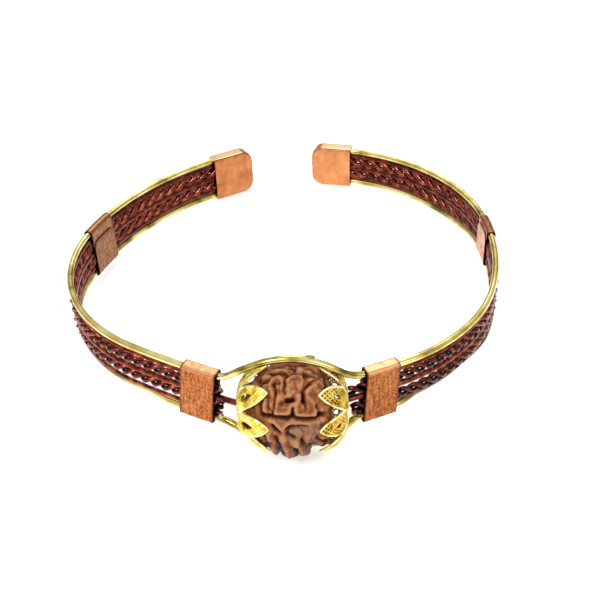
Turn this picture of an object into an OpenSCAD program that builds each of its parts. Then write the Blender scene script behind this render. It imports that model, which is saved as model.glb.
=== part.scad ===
// Rudraksha kada: an open wire cuff with a drilled rudraksha bead at its front.
// The cuff lies on its side: the bead is at -Y, the open ends are at +Y, and Z = 0 is the surface.
// The origin is at the middle of the cuff's outline, on that surface. All sizes are in millimetres.

/* [Cuff] */
// Distance from the middle of the plan to the bead's axis
bead_setback = 33; // [32:0.2:34]
// Length of the straight stretch of wire through the bead, each side of its middle
bead_straight = 4.8; // [4.2:0.2:5.4]
// How much narrower the band is at its right side, as a share of its width at the bead
right_pinch = 0.1; // [0:0.01:0.1]
// How much wider the band is at its left side, as a share of its width at the bead
left_spread = 0.04; // [0:0.01:0.1]

/* [Rails] */
// Diameter of the two round brass rails
rail_d = 1; // [0.8:0.05:1.1]
// Height of the rails' middle from the band's middle, beside the bead
rail_front_z = 3.8; // [3.8:0.02:3.9]
// Height of the rails' middle from the band's middle, at the open ends
rail_end_z = 3.5; // [3.4:0.02:3.52]
// Height of the rails' middle where they arch over and under the bead
arch_z = 7.9; // [7.9:0.02:8.1]
// Radius of the arch over the bead
upper_arch_r = 11; // [10.6:0.1:11.4]
// Radius of the arch under the bead
lower_arch_r = 10; // [9.6:0.1:10.4]

/* [Wires] */
// Diameter of the plain wire that carries the bead
centre_d = 0.8; // [0.6:0.05:0.8]
// Diameter of the thin plain wires beside the rails
thin_d = 0.45; // [0.3:0.05:0.5]
// Diameter of each strand of a twisted pair
strand_d = 0.56; // [0.5:0.02:0.56]
// Distance from the middle of a twisted pair to the middle of its strand
strand_offset = 0.41; // [0.4:0.01:0.41]
// Length of one full turn of a twisted pair
strand_pitch = 3.6; // [3.4:0.1:4]

/* [Copper clips] */
// Thickness of the copper sheet
sheet_t = 0.26; // [0.2:0.02:0.3]
// Length of a clip along the cuff
clip_length = 5.4; // [5:0.1:6]
// Distance from the bead's middle to the left front clip, along the cuff
left_front_clip_start = 10.6; // [10.5:0.1:11]
// Distance from the bead's middle to the right front clip, along the cuff
right_front_clip_start = 9.6; // [9.5:0.1:11]
// Distance from the bead's middle to the left rear clip, along the cuff
left_rear_clip_start = 59; // [50:0.2:64]
// Distance from the bead's middle to the right rear clip, along the cuff
right_rear_clip_start = 53.6; // [50:0.2:64]
// Overlap of a clip's two flaps on the wrist side
flap_lap = 0.9; // [0.4:0.1:1.2]

/* [End caps] */
// Length of an end cap along the cuff
cap_length = 7.9; // [6.5:0.1:8]
// Radius of an end cap's rounded free corners
cap_corner_r = 2.1; // [1.5:0.1:3]

/* [Bead] */
// Radius of the bead round its own middle
bead_r = 6.8; // [6.3:0.1:6.8]
// How far the bead's middle lies in front of the wire that it is threaded on
bead_forward = 0.5; // [0:0.1:0.6]
// Half the length of the bead along the wire
bead_half = 6.1; // [5.8:0.1:6.1]
// Radius of the hole drilled through the bead
bead_bore_r = 0.9; // [0.8:0.05:1.1]
// Depth of the furrows between the bead's lobes
furrow_depth = 0.85; // [0:0.05:1]
// Depth of the winding valleys between the bead's ridges
valley_depth = 0.8; // [0:0.05:1]
// Number of lobes round the bead
lobes = 4; // [4:1:7]

/* [Bead caps] */
// Number of petals on each bead cap
petals = 8; // [6:1:8]
// Thickness of a bead cap's sheet
petal_t = 0.28; // [0.2:0.02:0.3]
// Angle round the wire of the left cap's first petal, up from the front
left_petal_turn = 15; // [0:0.5:45]
// Angle round the wire of the right cap's first petal, up from the front
right_petal_turn = 9.5; // [0:0.5:45]
// Distance from the bead's middle to a petal's point, along the wire
petal_tip_x = 3.4; // [3.4:0.1:4.2]

/* [Hidden] */

LEFT = -1;
RIGHT = 1;
brass = "#d8c24a";
dark_copper = "#6b2a20";
copper = "#c97b4a";
gold = "#e6c93a";
seed_brown = "#8b5a3c";

// Bends of each arm's plan, in order from the bead. Columns: bend radius, turn in degrees
LEFT_BENDS = [[7.1, 26], [137, 7], [26.1, 75.8], [44.5, 50.5]];
RIGHT_BENDS = [[7.2, 19], [91.3, 5.6], [28.1, 47.1], [46.1, 25.8], [29.4, 79.7]];
// Heights of each wire in the band. Columns: height beside the bead, height at the open ends
THIN_Z = [2.75, 2.4];
UPPER_PAIR_Z = [1.45, 1.3];
CENTRE_Z = [0, 0];
LOWER_PAIR_Z = [-1.4, -1.3];
LOWER_THIN_Z = [-2.8, -2.45];
RAIL_Z = [rail_front_z, rail_end_z];
// Arches of the rails. Columns: place of the arch's middle, its length to the left and to the right
UPPER_ARCH = [-0.7, 10.6, 10.9];
LOWER_ARCH = [0, 10.7, 9.4];
// Distance from the bead's middle to each cut end. Columns: left arm, right arm
UPPER_PAIR_START = [9.8, 7.7];
LOWER_PAIR_START = [9.7, 8.2];
THIN_START = [9.9, 9.2];
LOWER_THIN_START = [10.1, 8.0];

// Radius of a flat-sided tube's corners for each millimetre of its wire's radius
swell = 1.03;
// Room inside the straight copper sheet for the bent wires: sideways, and over the rails
bend_room = 0.16;
rail_room = 0.16;
band_half = strand_offset + strand_d / 2 * swell + bend_room;
cap_sheet_t = sheet_t - 0.02;
bore_fn = 48;
// Largest turn of the plan between two rings of a wire
ring_turn = 8;
rings_per_turn = 5;
strand_sides = 5;
centre_sides = 6;
rail_sides = 10;
arch_steps = 22;
bead_rings = 23;
bead_sides = 40;
// Short step along a wire, to find its direction
tiny = 0.02;
// How far the wires run into the end caps, and the hollow beyond their ends
wire_in_cap = 4.5;
cap_hollow = 1.2;
cap_edge_r = 0.5;
// Room beside the wires inside an end cap
cap_slack = 0.3;
// Height of a clip's upper flap edge, as a share of the clip's half height, and the lap's air gap
flap_share = 0.3;
lap_gap = 0.04;
// Angle round the wire of one furrow, up from the front
first_furrow = 28;
// Deepest place of the relief
deepest = 1.3;
// Superellipse power of the bead's long profile
bead_power = 2.05;
// Bead caps: distance from the bead's middle to each cap's flat middle. Columns: left, right
CAP_REACH = [7.5, 7.2];
// Long profile of a cap that stands off the bead, and of the petals that are bent in closer.
// Columns: radius round the wire, superellipse power
PROUD = [6.3, 3];
SNUG = [6.9, 2];
// First of the petals that are bent in closer, counted from the first petal. Columns: left, right
SNUG_FROM = [5, 8];
// Radii of a cap's flat middle and of its hole, and the radius from which its petals run outward
cap_hub_r = 2.4;
cap_bore_r = 1.3;
petal_root_r = 1.4;
// Places along the wire where a petal and its slit are widest, and their half widths
petal_wide_x = 6.6;
petal_half_w = 1.5;
slit_wide_x = 6.15;
slit_tip_x = 5.3;
slit_half_w = 0.35;

// Plan of an arm: follow(bends, s, place) gives [x, y, heading] after s of the bends
function bend_length(bend) = bend[0] * bend[1] * PI / 180;
function turned(p, r, turn) = [
    p[0] + r * (sin(p[2] + turn) - sin(p[2])),
    p[1] + r * (cos(p[2]) - cos(p[2] + turn)),
    p[2] + turn
];
function follow(bends, s, p, i = 0) =
    i == len(bends) - 1 || s <= bend_length(bends[i])
        ? turned(p, bends[i][0], s / bend_length(bends[i]) * bends[i][1])
        : follow(bends, s - bend_length(bends[i]), turned(p, bends[i][0], bends[i][1]), i + 1);
function arm_bends(side) = side == LEFT ? LEFT_BENDS : RIGHT_BENDS;
function arm_station(side, s) =
    s <= bead_straight
        ? [s, -bead_setback, 0]
        : follow(arm_bends(side), s - bead_straight, [bead_straight, -bead_setback, 0]);
// Place at distance s along the cuff from the bead on one arm, and the direction of the wrist there
function on_arm(side, s) = let (p = arm_station(side, s)) [side * p[0], p[1]];
function inward(side, s) = let (p = arm_station(side, s)) [-side * sin(p[2]), cos(p[2]), 0];
function sum_lengths(bends, i = 0) =
    i == len(bends) ? 0 : bend_length(bends[i]) + sum_lengths(bends, i + 1);
function arm_end(side) = bead_straight + sum_lengths(arm_bends(side));
function wire_end(side) = arm_end(side) - cap_length + wire_in_cap;

// Height of a wire at a place in the plan
function band_width(x) = 1 - (x > 0 ? right_pinch : left_spread) * x / bead_setback;
function wire_z(heights, x, y) =
    let (share = (1 + y / bead_setback) / 2)
    band_width(x) * (heights[0] + (heights[1] - heights[0]) * share);

function unit(v) = v / norm(v);

function rear_clip_start(side) = side == LEFT ? left_rear_clip_start : right_rear_clip_start;
// An end cap is straight, in line with the middle of the wires inside it
function cap_station(side) = arm_station(side, arm_end(side) - cap_length + wire_in_cap / 2);
cap_middle = (cap_length - wire_in_cap) / 2;
cap_inner_t = band_half + cap_slack;
cap_half_t = cap_inner_t + cap_sheet_t;
cap_half_z = wire_z(RAIL_Z, 0, bead_setback) + rail_d / 2 * swell + rail_room + cap_sheet_t;

// The cuff rests on the arch under the bead and on the lower back edges of its end caps
cap_back = max([for (side = [LEFT, RIGHT]) let (p = cap_station(side))
    max([for (u = [-1, 1]) p[1] + (cap_middle + u * cap_length / 2) * sin(p[2])]) - cap_half_t * cos(p[2])]);
rest_tilt = asin((arch_z + rail_d / 2 - cap_half_z) / (bead_setback + cap_back - cap_edge_r));
rest_lift = arch_z * cos(rest_tilt) - bead_setback * sin(rest_tilt) + rail_d / 2 * swell;
clip_edge_x = [for (side = [LEFT, RIGHT])
    let (p = arm_station(side, rear_clip_start(side) + clip_length / 2))
    p[0] + (band_half + sheet_t) * sin(p[2]) + clip_length / 2 * abs(cos(p[2]))];
rail_edge_x = [for (side = [LEFT, RIGHT])
    max([for (s = [20:0.5:70]) side * on_arm(side, s)[0]]) + rail_d / 2];
outline_mid_x = (max(clip_edge_x[1], rail_edge_x[1]) - max(clip_edge_x[0], rail_edge_x[0])) / 2;
bead_front = (bead_setback + bead_forward + bead_r) * cos(rest_tilt);
outline_mid_y = (cap_back + cap_half_z * sin(rest_tilt) - bead_front) / 2;

module at_rest() {
    translate([-outline_mid_x, -outline_mid_y, rest_lift])
        rotate([-rest_tilt, 0, 0])
            children();
}

module on_side(side) {
    if (side == LEFT)
        mirror([1, 0, 0])
            children();
    else
        children();
}

// Closed tube of flat faces through the middles of its rings
module tube(rings, sides) {
    points = [for (ring = rings) each ring];
    last = len(rings) - 1;
    faces = concat(
        [[for (k = [sides - 1:-1:0]) k]],
        [for (j = [0:last - 1], k = [0:sides - 1]) let (n = (k + 1) % sides)
            each [[j * sides + k, j * sides + n, (j + 1) * sides + n],
                  [j * sides + k, (j + 1) * sides + n, (j + 1) * sides + k]]],
        [[for (k = [0:sides - 1]) last * sides + k]]
    );
    polyhedron(points, faces, convexity = 10);
}
function ring(middle, direction, r, sides) =
    let (t = unit(direction), u = unit([0, 0, 1] - t * t[2]), v = cross(t, u))
    [for (k = [0:sides - 1]) let (a = k * 360 / sides) middle + swell * r * (cos(a) * v + sin(a) * u)];

// Distances along an arm at which its wires get a ring, closer together where the bend is tight
function bend_stations(bends, i = 0, done = bead_straight) =
    i == len(bends) ? []
    : let (n = ceil(bends[i][1] / ring_turn))
      concat([for (k = [0:n - 1]) done + bend_length(bends[i]) * k / n],
             bend_stations(bends, i + 1, done + bend_length(bends[i])));
function stations(side, from, to) =
    let (inner = bend_stations(arm_bends(side)))
    concat([from], [for (s = inner) if (s > from + 0.4 && s < to - 0.4) s], [to]);
function reversed(list) = [for (k = [len(list) - 1:-1:0]) list[k]];

// Places along the whole cuff: s is negative on the left arm and positive on the right one
function on_cuff(s) = on_arm(s < 0 ? LEFT : RIGHT, abs(s));
function wire_point(heights, s) = let (p = on_cuff(s)) [p[0], p[1], wire_z(heights, p[0], p[1])];
function wire_rings(heights, at, r, sides) =
    [for (s = at)
        let (direction = wire_point(heights, s + tiny) - wire_point(heights, s - tiny))
        ring(wire_point(heights, s), direction, r, sides)];

// Height that an arch adds to a rail: a round top, and at each end a fillet back to the band
arch_rise = arch_z - rail_front_z;
function arch_height(arch, r, s) =
    let (
        d = abs(s - arch[0]),
        half = s < arch[0] ? arch[1] : arch[2],
        slope = 2 * atan(arch_rise / half),
        fillet_r = half / sin(slope) - r
    )
    d >= half ? 0
    : d < r * sin(slope) ? arch_rise - r + sqrt(r * r - d * d)
    : fillet_r - sqrt(fillet_r * fillet_r - (half - d) * (half - d));
function arch_point(arch, r, s) = wire_point(RAIL_Z, s) + [0, 0, arch_height(arch, r, s)];

module rail_shape(arch, r) {
    from = arch[0] - arch[1];
    to = arch[0] + arch[2];
    left = [for (s = reversed(stations(LEFT, 1 - from, wire_end(LEFT)))) -s];
    middle = [for (j = [0:arch_steps]) from + (to - from) * j / arch_steps];
    right = stations(RIGHT, 1 + to, wire_end(RIGHT));
    rings = [for (s = concat(left, middle, right))
        ring(arch_point(arch, r, s), arch_point(arch, r, s + tiny) - arch_point(arch, r, s - tiny),
             rail_d / 2, rail_sides)];
    tube(rings, rail_sides);
}
module upper_rail() {
    color(brass)
        at_rest()
            rail_shape(UPPER_ARCH, upper_arch_r);
}
module lower_rail() {
    color(brass)
        at_rest()
            mirror([0, 0, 1])
                rail_shape(LOWER_ARCH, lower_arch_r);
}

module centre_wire() {
    left = [for (s = reversed(stations(LEFT, bead_straight, wire_end(LEFT)))) -s];
    right = stations(RIGHT, bead_straight, wire_end(RIGHT));
    color(dark_copper)
        at_rest()
            tube(wire_rings(CENTRE_Z, concat(left, right), centre_d / 2, centre_sides), centre_sides);
}

module thin_wire(side, heights, start) {
    away = [for (s = stations(side, start, wire_end(side))) side * s];
    at = side == LEFT ? reversed(away) : away;
    color(dark_copper)
        at_rest()
            tube(wire_rings(heights, at, thin_d / 2, strand_sides), strand_sides);
}

// One strand of a twisted pair; the two strands are half a turn apart
function strand_point(side, heights, s, phase) =
    let (p = on_arm(side, s), n = inward(side, s), a = 360 * s / strand_pitch + phase)
    [p[0] + strand_offset * cos(a) * n[0],
     p[1] + strand_offset * cos(a) * n[1],
     wire_z(heights, p[0], p[1]) + strand_offset * sin(a)];
module strand(side, heights, start, phase) {
    end = wire_end(side);
    step = strand_pitch / rings_per_turn;
    rings = [for (s = [start:step:end])
        ring(strand_point(side, heights, s, phase),
             strand_point(side, heights, s + tiny, phase) - strand_point(side, heights, s - tiny, phase),
             strand_d / 2, strand_sides)];
    color(dark_copper)
        at_rest()
            tube(rings, strand_sides);
}

// Copper sheet wrapped round the band: an outer face, and two flaps that lap on the wrist side
function corner(u, z, r, from) =
    [for (k = [0:4]) let (a = from - k * 22.5) [u + r * cos(a), z + r * sin(a)]];
function clip_edge(half_z, e) =
    let (
        fold_r = sheet_t * 1.6,
        face = band_half + sheet_t / 2,
        proud = face + sheet_t + lap_gap,
        rise = half_z + sheet_t / 2 - fold_r
    )
    concat(
        [[-face - e, half_z * flap_share]],
        corner(-face + fold_r, rise, fold_r + e, 180),
        corner(face - fold_r, rise, fold_r + e, 90),
        corner(face - fold_r, -rise, fold_r + e, 0),
        corner(-proud + fold_r, -rise, fold_r + e, -90),
        [[-proud - e, half_z * flap_share + flap_lap]]
    );
function plan_point(side, s) = let (p = arm_station(side, s)) [p[0], p[1]];
module clip(side, start) {
    middle = start + clip_length / 2;
    p = arm_station(side, middle);
    chord = (plan_point(side, start) + plan_point(side, start + clip_length)) / 2;
    place = (chord + [p[0], p[1]]) / 2;
    half_z = wire_z(RAIL_Z, side * p[0], p[1]) + rail_d / 2 * swell + rail_room;
    outer = clip_edge(half_z, sheet_t / 2);
    inner = clip_edge(half_z, -sheet_t / 2);
    color(copper)
        at_rest()
            on_side(side)
                translate(place)
                    rotate([90, 0, p[2] - 90])
                        linear_extrude(clip_length, center = true)
                            polygon(concat(outer, reversed(inner)));
}

module rounded_rect(w, h, r) {
    square([w - 2 * r, h], center = true);
    square([w, h - 2 * r], center = true);
    for (x = [-1, 1], y = [-1, 1])
        translate([x * (w / 2 - r), y * (h / 2 - r)])
            circle(r, $fn = 32);
}

// Copper cap over one open end: a closed box with rounded free corners, hollow for the wires
module cap_shape() {
    difference() {
        intersection() {
            rotate([90, 0, 90])
                linear_extrude(cap_length, center = true)
                    rounded_rect(2 * cap_half_t, 2 * cap_half_z, cap_edge_r);
            translate([-cap_corner_r, 0, 0])
                rotate([90, 0, 0])
                    linear_extrude(2 * cap_half_t + 1, center = true)
                        rounded_rect(cap_length + 2 * cap_corner_r, 2 * cap_half_z, cap_corner_r);
        }
        translate([-cap_length / 2 - 1, -cap_inner_t, -cap_half_z + cap_sheet_t])
            cube([1 + wire_in_cap + cap_hollow, 2 * cap_inner_t, 2 * (cap_half_z - cap_sheet_t)]);
    }
}
module end_cap(side) {
    p = cap_station(side);
    color(copper)
        at_rest()
            on_side(side)
                translate([p[0], p[1], 0])
                    rotate([0, 0, p[2]])
                        translate([cap_middle, 0, 0])
                            cap_shape();
}

// Distance from the bead's middle to its envelope, at angle t from the wire
function bead_envelope(t) =
    let (along = pow(abs(cos(t)) / bead_half, bead_power), across = pow(abs(sin(t)) / bead_r, bead_power))
    1 / pow(along + across, 1 / bead_power);
// Depth of the relief: furrows run from end to end, and winding valleys cross each lobe
function furrow(az, t) =
    let (a = (az - first_furrow + 6 * sin(4 * t)) * lobes / 2)
    furrow_depth * pow(abs(cos(a)), 18);
function valley(az, t) =
    let (
        a = 7 * az + 70 * sin(2 * t) + 55 * sin(3 * az + 4 * t),
        b = 8 * t + 65 * sin(4 * az)
    )
    valley_depth * pow(0.5 + 0.5 * sin(a) * cos(b), 1.3);
function bead_surface(az, t) = bead_envelope(t) - sin(t) * min(furrow(az, t) + valley(az, t), deepest);

module rudraksha_bead() {
    rings = [for (j = [0:bead_rings]) let (t = 5 + 170 * j / bead_rings)
        [for (k = [0:bead_sides - 1]) let (az = k * 360 / bead_sides, r = bead_surface(az, t))
            [r * cos(t), -r * sin(t) * cos(az), r * sin(t) * sin(az)]]];
    color(seed_brown)
        at_rest()
            translate([0, -bead_setback, 0])
                difference() {
                    translate([0, -bead_forward, 0])
                        tube(reversed(rings), bead_sides);
                    rotate([0, 90, 0])
                        cylinder(r = bead_bore_r, h = 3 * bead_half, center = true, $fn = bore_fn);
                }
}

// Gold filigree cap: a ring of pointed petals bent over one end of the bead
function cap_wall(reach, r, power) =
    [for (k = [0:13]) let (t = 2 + k * 5.8) [r * pow(sin(t), 2 / power), reach * pow(cos(t), 2 / power)]];
module cap_dome(reach, profile) {
    under = cap_wall(reach - petal_t, profile[0] - petal_t, profile[1]);
    over = cap_wall(reach, profile[0], profile[1]);
    rotate([0, 90, 0])
        rotate_extrude($fn = 96)
            polygon(concat(under, reversed(over)));
}
// Pointed outline of a petal or a slit, as seen from outside the cap; its point is at the tip
module petal_outline(tip, wide, half_w) {
    half_l = wide - tip;
    r = (half_l * half_l + half_w * half_w) / (2 * half_w);
    translate([wide, 0])
        intersection() {
            translate([0, r - half_w])
                circle(r, $fn = 96);
            translate([0, half_w - r])
                circle(r, $fn = 96);
        }
}
module round_the_wire(turn, from = 0, to = petals) {
    for (k = [from:to - 1])
        rotate([90 - turn - k * 360 / petals, 0, 0])
            translate([0, 0, petal_root_r])
                linear_extrude(SNUG[0])
                    children();
}
module petal_outlines(turn, from, to) {
    round_the_wire(turn, from, to)
        petal_outline(petal_tip_x, petal_wide_x, petal_half_w);
}
module along_the_wire(r) {
    rotate([0, 90, 0])
        cylinder(r = r, h = 2 * SNUG[0], $fn = bore_fn);
}
module bead_cap(side, turn) {
    index = side == LEFT ? 0 : 1;
    snug_from = min(SNUG_FROM[index], petals);
    color(gold)
        at_rest()
            on_side(side)
                translate([0, -bead_setback - bead_forward, 0])
                    difference() {
                        union() {
                            intersection() {
                                cap_dome(CAP_REACH[index], PROUD);
                                union() {
                                    along_the_wire(cap_hub_r);
                                    petal_outlines(turn, 0, snug_from);
                                }
                            }
                            if (snug_from < petals)
                                intersection() {
                                    cap_dome(CAP_REACH[index], SNUG);
                                    petal_outlines(turn, snug_from, petals);
                                }
                        }
                        round_the_wire(turn)
                            petal_outline(slit_tip_x, slit_wide_x, slit_half_w);
                        translate([0, bead_forward, 0])
                            along_the_wire(cap_bore_r);
                    }
}

upper_rail();
lower_rail();
centre_wire();
thin_wire(LEFT, THIN_Z, THIN_START[0]);  // left_upper_thin_wire
thin_wire(LEFT, LOWER_THIN_Z, LOWER_THIN_START[0]);  // left_lower_thin_wire
thin_wire(RIGHT, THIN_Z, THIN_START[1]);  // right_upper_thin_wire
thin_wire(RIGHT, LOWER_THIN_Z, LOWER_THIN_START[1]);  // right_lower_thin_wire
strand(LEFT, UPPER_PAIR_Z, UPPER_PAIR_START[0], 0);  // left_upper_strand_a
strand(LEFT, UPPER_PAIR_Z, UPPER_PAIR_START[0], 180);  // left_upper_strand_b
strand(LEFT, LOWER_PAIR_Z, LOWER_PAIR_START[0], 90);  // left_lower_strand_a
strand(LEFT, LOWER_PAIR_Z, LOWER_PAIR_START[0], 270);  // left_lower_strand_b
strand(RIGHT, UPPER_PAIR_Z, UPPER_PAIR_START[1], 0);  // right_upper_strand_a
strand(RIGHT, UPPER_PAIR_Z, UPPER_PAIR_START[1], 180);  // right_upper_strand_b
strand(RIGHT, LOWER_PAIR_Z, LOWER_PAIR_START[1], 90);  // right_lower_strand_a
strand(RIGHT, LOWER_PAIR_Z, LOWER_PAIR_START[1], 270);  // right_lower_strand_b
clip(LEFT, left_front_clip_start);  // left_front_clip
clip(RIGHT, right_front_clip_start);  // right_front_clip
clip(LEFT, left_rear_clip_start);  // left_rear_clip
clip(RIGHT, right_rear_clip_start);  // right_rear_clip
end_cap(LEFT);  // left_end_cap
end_cap(RIGHT);  // right_end_cap
rudraksha_bead();
bead_cap(LEFT, left_petal_turn);  // left_bead_cap
bead_cap(RIGHT, right_petal_turn);  // right_bead_cap
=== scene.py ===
"""Rudraksha kada: an open wire cuff with a drilled rudraksha bead, dressed on its CAD frame.

The classes hold sizes in millimetres, in the cuff's own plan, and the meshes are in metres.
"""

import logging
import math
from dataclasses import dataclass
from enum import Enum
from typing import Any, Callable, Sequence

import bpy
import numpy as np
from mathutils import Matrix, Vector, noise


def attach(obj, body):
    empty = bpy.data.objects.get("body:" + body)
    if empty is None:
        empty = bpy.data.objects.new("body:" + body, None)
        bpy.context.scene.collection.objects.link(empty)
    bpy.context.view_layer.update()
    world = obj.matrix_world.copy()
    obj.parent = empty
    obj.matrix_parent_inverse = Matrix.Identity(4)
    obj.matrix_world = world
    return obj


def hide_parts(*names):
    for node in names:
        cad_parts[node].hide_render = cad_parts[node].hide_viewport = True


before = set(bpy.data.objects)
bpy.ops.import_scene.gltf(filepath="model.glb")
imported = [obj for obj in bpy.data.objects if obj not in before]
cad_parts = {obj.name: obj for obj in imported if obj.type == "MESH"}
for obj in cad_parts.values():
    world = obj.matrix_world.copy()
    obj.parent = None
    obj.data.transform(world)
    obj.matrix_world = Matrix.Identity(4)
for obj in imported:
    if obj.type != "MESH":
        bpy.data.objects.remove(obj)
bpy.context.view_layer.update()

MM = 0.001
LOG = logging.getLogger("kada")

Pair = tuple[float, float]
Point = tuple[float, float, float]
Settings = dict[str | int, Any]
Piece = bpy.types.Object
Tree = bpy.types.NodeTree
Socket = bpy.types.NodeSocket


class Named(Enum):
    """A choice whose name, in small letters, is part of the pieces' names."""

    @property
    def word(self) -> str:
        """The choice's name in small letters."""
        return self.name.lower()


class Side(Named):
    """The cuff's two arms, as seen from the front of the bead."""

    LEFT = -1
    RIGHT = 1


class Level(Named):
    """Above or below the middle of the band."""

    UPPER = 1
    LOWER = -1


class WireEnd(Enum):
    """How a drawn wire ends."""

    CUT = "cut"
    CLOSED = "closed"


class MeshPart(Enum):
    """What an edit-mode operator works on."""

    EDGES = "EDGE"
    FACES = "FACE"


def clamp(value: float) -> float:
    """The value, kept between 0 and 1."""
    return min(1.0, max(0.0, value))


def eased(share: float) -> float:
    """A share from 0 to 1, with a soft start and a soft end."""
    return share * share * (3 - 2 * share)


def between(share: float, first: float, last: float) -> float:
    """The value a share of the way from one value to another."""
    return first + (last - first) * share


def spaced(first: float, last: float, step: float) -> list[float]:
    """Even distances from one to another, about a step apart."""
    count = int((last - first) / step)
    return [first + (last - first) * i / count for i in range(count + 1)]


# Colours and materials


def linear(hex_colour: str) -> tuple[float, float, float, float]:
    """Turns an sRGB hex colour to linear.

    Args:
        hex_colour: six hex digits after a hash sign.

    Returns:
        Linear red, green, blue and an alpha of 1.
    """
    values = [int(hex_colour[i : i + 2], 16) / 255 for i in (1, 3, 5)]
    red, green, blue = (v / 12.92 if v <= 0.04045 else ((v + 0.055) / 1.055) ** 2.4 for v in values)
    return (red, green, blue, 1.0)


def set_up(tree: Tree, node: bpy.types.Node, settings: Settings) -> None:
    """Gives a node its settings and its incoming links.

    Args:
        tree: the node tree.
        node: the node.
        settings: a value, or the socket that feeds it, by the name or number of an input or the
            name of a property; "stops" holds a ramp's (place, hex) pairs.
    """
    for name, value in settings.items():
        if name == "stops":
            stops = node.color_ramp.elements
            while len(stops) < len(value):
                stops.new(0.5)
            for stop, (place, colour) in zip(stops, value):
                stop.position = place
                stop.color = linear(colour)
        elif isinstance(value, Socket):
            tree.links.new(value, node.inputs[name])
        elif isinstance(name, int) or name in node.inputs:
            node.inputs[name].default_value = value
        else:
            setattr(node, name, value)


def add_node(tree: Tree, kind: str, settings: Settings | None = None) -> bpy.types.Node:
    """Adds a node of a type to a tree, with its settings and its incoming links.

    Args:
        tree: the node tree.
        kind: the node's type name.
        settings: the same as for set_up.

    Returns:
        The node.
    """
    node = tree.nodes.new(kind)
    set_up(tree, node, settings or {})
    return node


def per_mm(size: float) -> float:
    """Scale of a texture in Object coordinates whose features measure size millimetres."""
    return 1 / (size * MM)


def layered(tree: Tree, colour: Socket, layers: dict[str, str | Socket]) -> Socket:
    """Lays colours over a first one, each as far as an attribute of the piece says.

    Args:
        tree: the node tree.
        colour: the first colour.
        layers: hex colours or sockets, by the names of the attributes.

    Returns:
        The last layer's socket.
    """
    for name, shade in layers.items():
        share = add_node(tree, "ShaderNodeAttribute", {"attribute_name": name})
        over = linear(shade) if isinstance(shade, str) else shade
        settings = {"data_type": "RGBA", 0: share.outputs["Fac"], 6: colour, 7: over}
        colour = add_node(tree, "ShaderNodeMix", settings).outputs[2]
    return colour


@dataclass(frozen=True)
class Grain:
    """A fine pattern: its size in millimetres, the roughness at its two ends, and its bump."""

    size: float
    detail: float
    rough: Pair
    strength: float = 0.0
    depth: float = 0.0
    harshness: float = 0.5

    def laid(self, tree: Tree, place: Socket) -> tuple[Socket, Settings]:
        """Adds the pattern's nodes.

        Args:
            tree: the node tree.
            place: the Object coordinates.

        Returns:
            The pattern's value, and the roughness and normal that the shader takes from it.
        """
        sizes = {"Scale": per_mm(self.size), "Detail": self.detail, "Roughness": self.harshness}
        value = add_node(tree, "ShaderNodeTexNoise", {**sizes, "Vector": place}).outputs["Fac"]
        limits = {"From Min": 0.3, "From Max": 0.7, "To Min": self.rough[0], "To Max": self.rough[1]}
        gloss = add_node(tree, "ShaderNodeMapRange", {**limits, "Value": value})
        takes: Settings = {"Roughness": gloss.outputs["Result"]}
        if self.strength:
            relief = {"Strength": self.strength, "Distance": self.depth * MM, "Height": value}
            takes["Normal"] = add_node(tree, "ShaderNodeBump", relief).outputs["Normal"]
        return value, takes


@dataclass(frozen=True)
class Finish:
    """A procedural surface; a subclass adds its own nodes."""

    name: str
    slot: str

    def nodes(self, tree: Tree, place: Socket) -> Settings:
        """Adds the finish's nodes to a tree and gives what the Principled shader takes."""
        raise NotImplementedError

    def material(self) -> bpy.types.Material:
        """Makes the finish's material the first time that it is asked for.

        Returns:
            The material.
        """
        made = bpy.data.materials.get(self.name)
        if made:
            return made
        made = bpy.data.materials.new(self.name)
        made.use_nodes = True
        tree = made.node_tree
        place = add_node(tree, "ShaderNodeTexCoord").outputs["Object"]
        set_up(tree, tree.nodes["Principled BSDF"], self.nodes(tree, place))
        return made

    def put_on(self, piece: Piece) -> None:
        """Gives a piece this finish alone.

        Args:
            piece: the piece.
        """
        piece.data.materials.clear()
        piece.data.materials.append(self.material())


@dataclass(frozen=True)
class AgedBrass(Finish):
    """Drawn round brass wire, handled for years: bright yellow with olive tarnish in soft patches."""

    name: str = "aged_drawn_brass"
    slot: str = "rail_brass"
    bright: str = "#F0E19A"
    plain: str = "#D2BC66"
    tarnish: str = "#8A7638"
    # painted shade: a dark colour laid over the lower rail where it lies in shadow along the fronts
    dulled: str = "#4A3E1C"
    patch: float = 4.0
    # Real drawing scratches are finer than a pixel, so these are as coarse as they need to show.
    scratches: Grain = Grain(0.35, 3.0, (0.2, 0.28), 0.04, 0.01)

    def nodes(self, tree: Tree, place: Socket) -> Settings:
        """Adds long tarnish patches, fine scratches from the drawing plate, and painted shade where a piece
        asks for it.

        Args:
            tree: the material's node tree.
            place: the Object coordinates.

        Returns:
            What the Principled shader takes.
        """
        patches = {"Scale": per_mm(self.patch), "Detail": 3.0, "Vector": place}
        shade = add_node(tree, "ShaderNodeTexNoise", patches).outputs["Fac"]
        stops = [(0.3, self.tarnish), (0.46, self.plain), (0.64, self.bright)]
        colour = add_node(tree, "ShaderNodeValToRGB", {"stops": stops, "Fac": shade}).outputs["Color"]
        # lays the painted shade over the brass
        with_painted_light = layered(tree, colour, {"dulled": self.dulled})
        return {"Metallic": 1.0, "Base Color": with_painted_light, **self.scratches.laid(tree, place)[1]}


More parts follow.
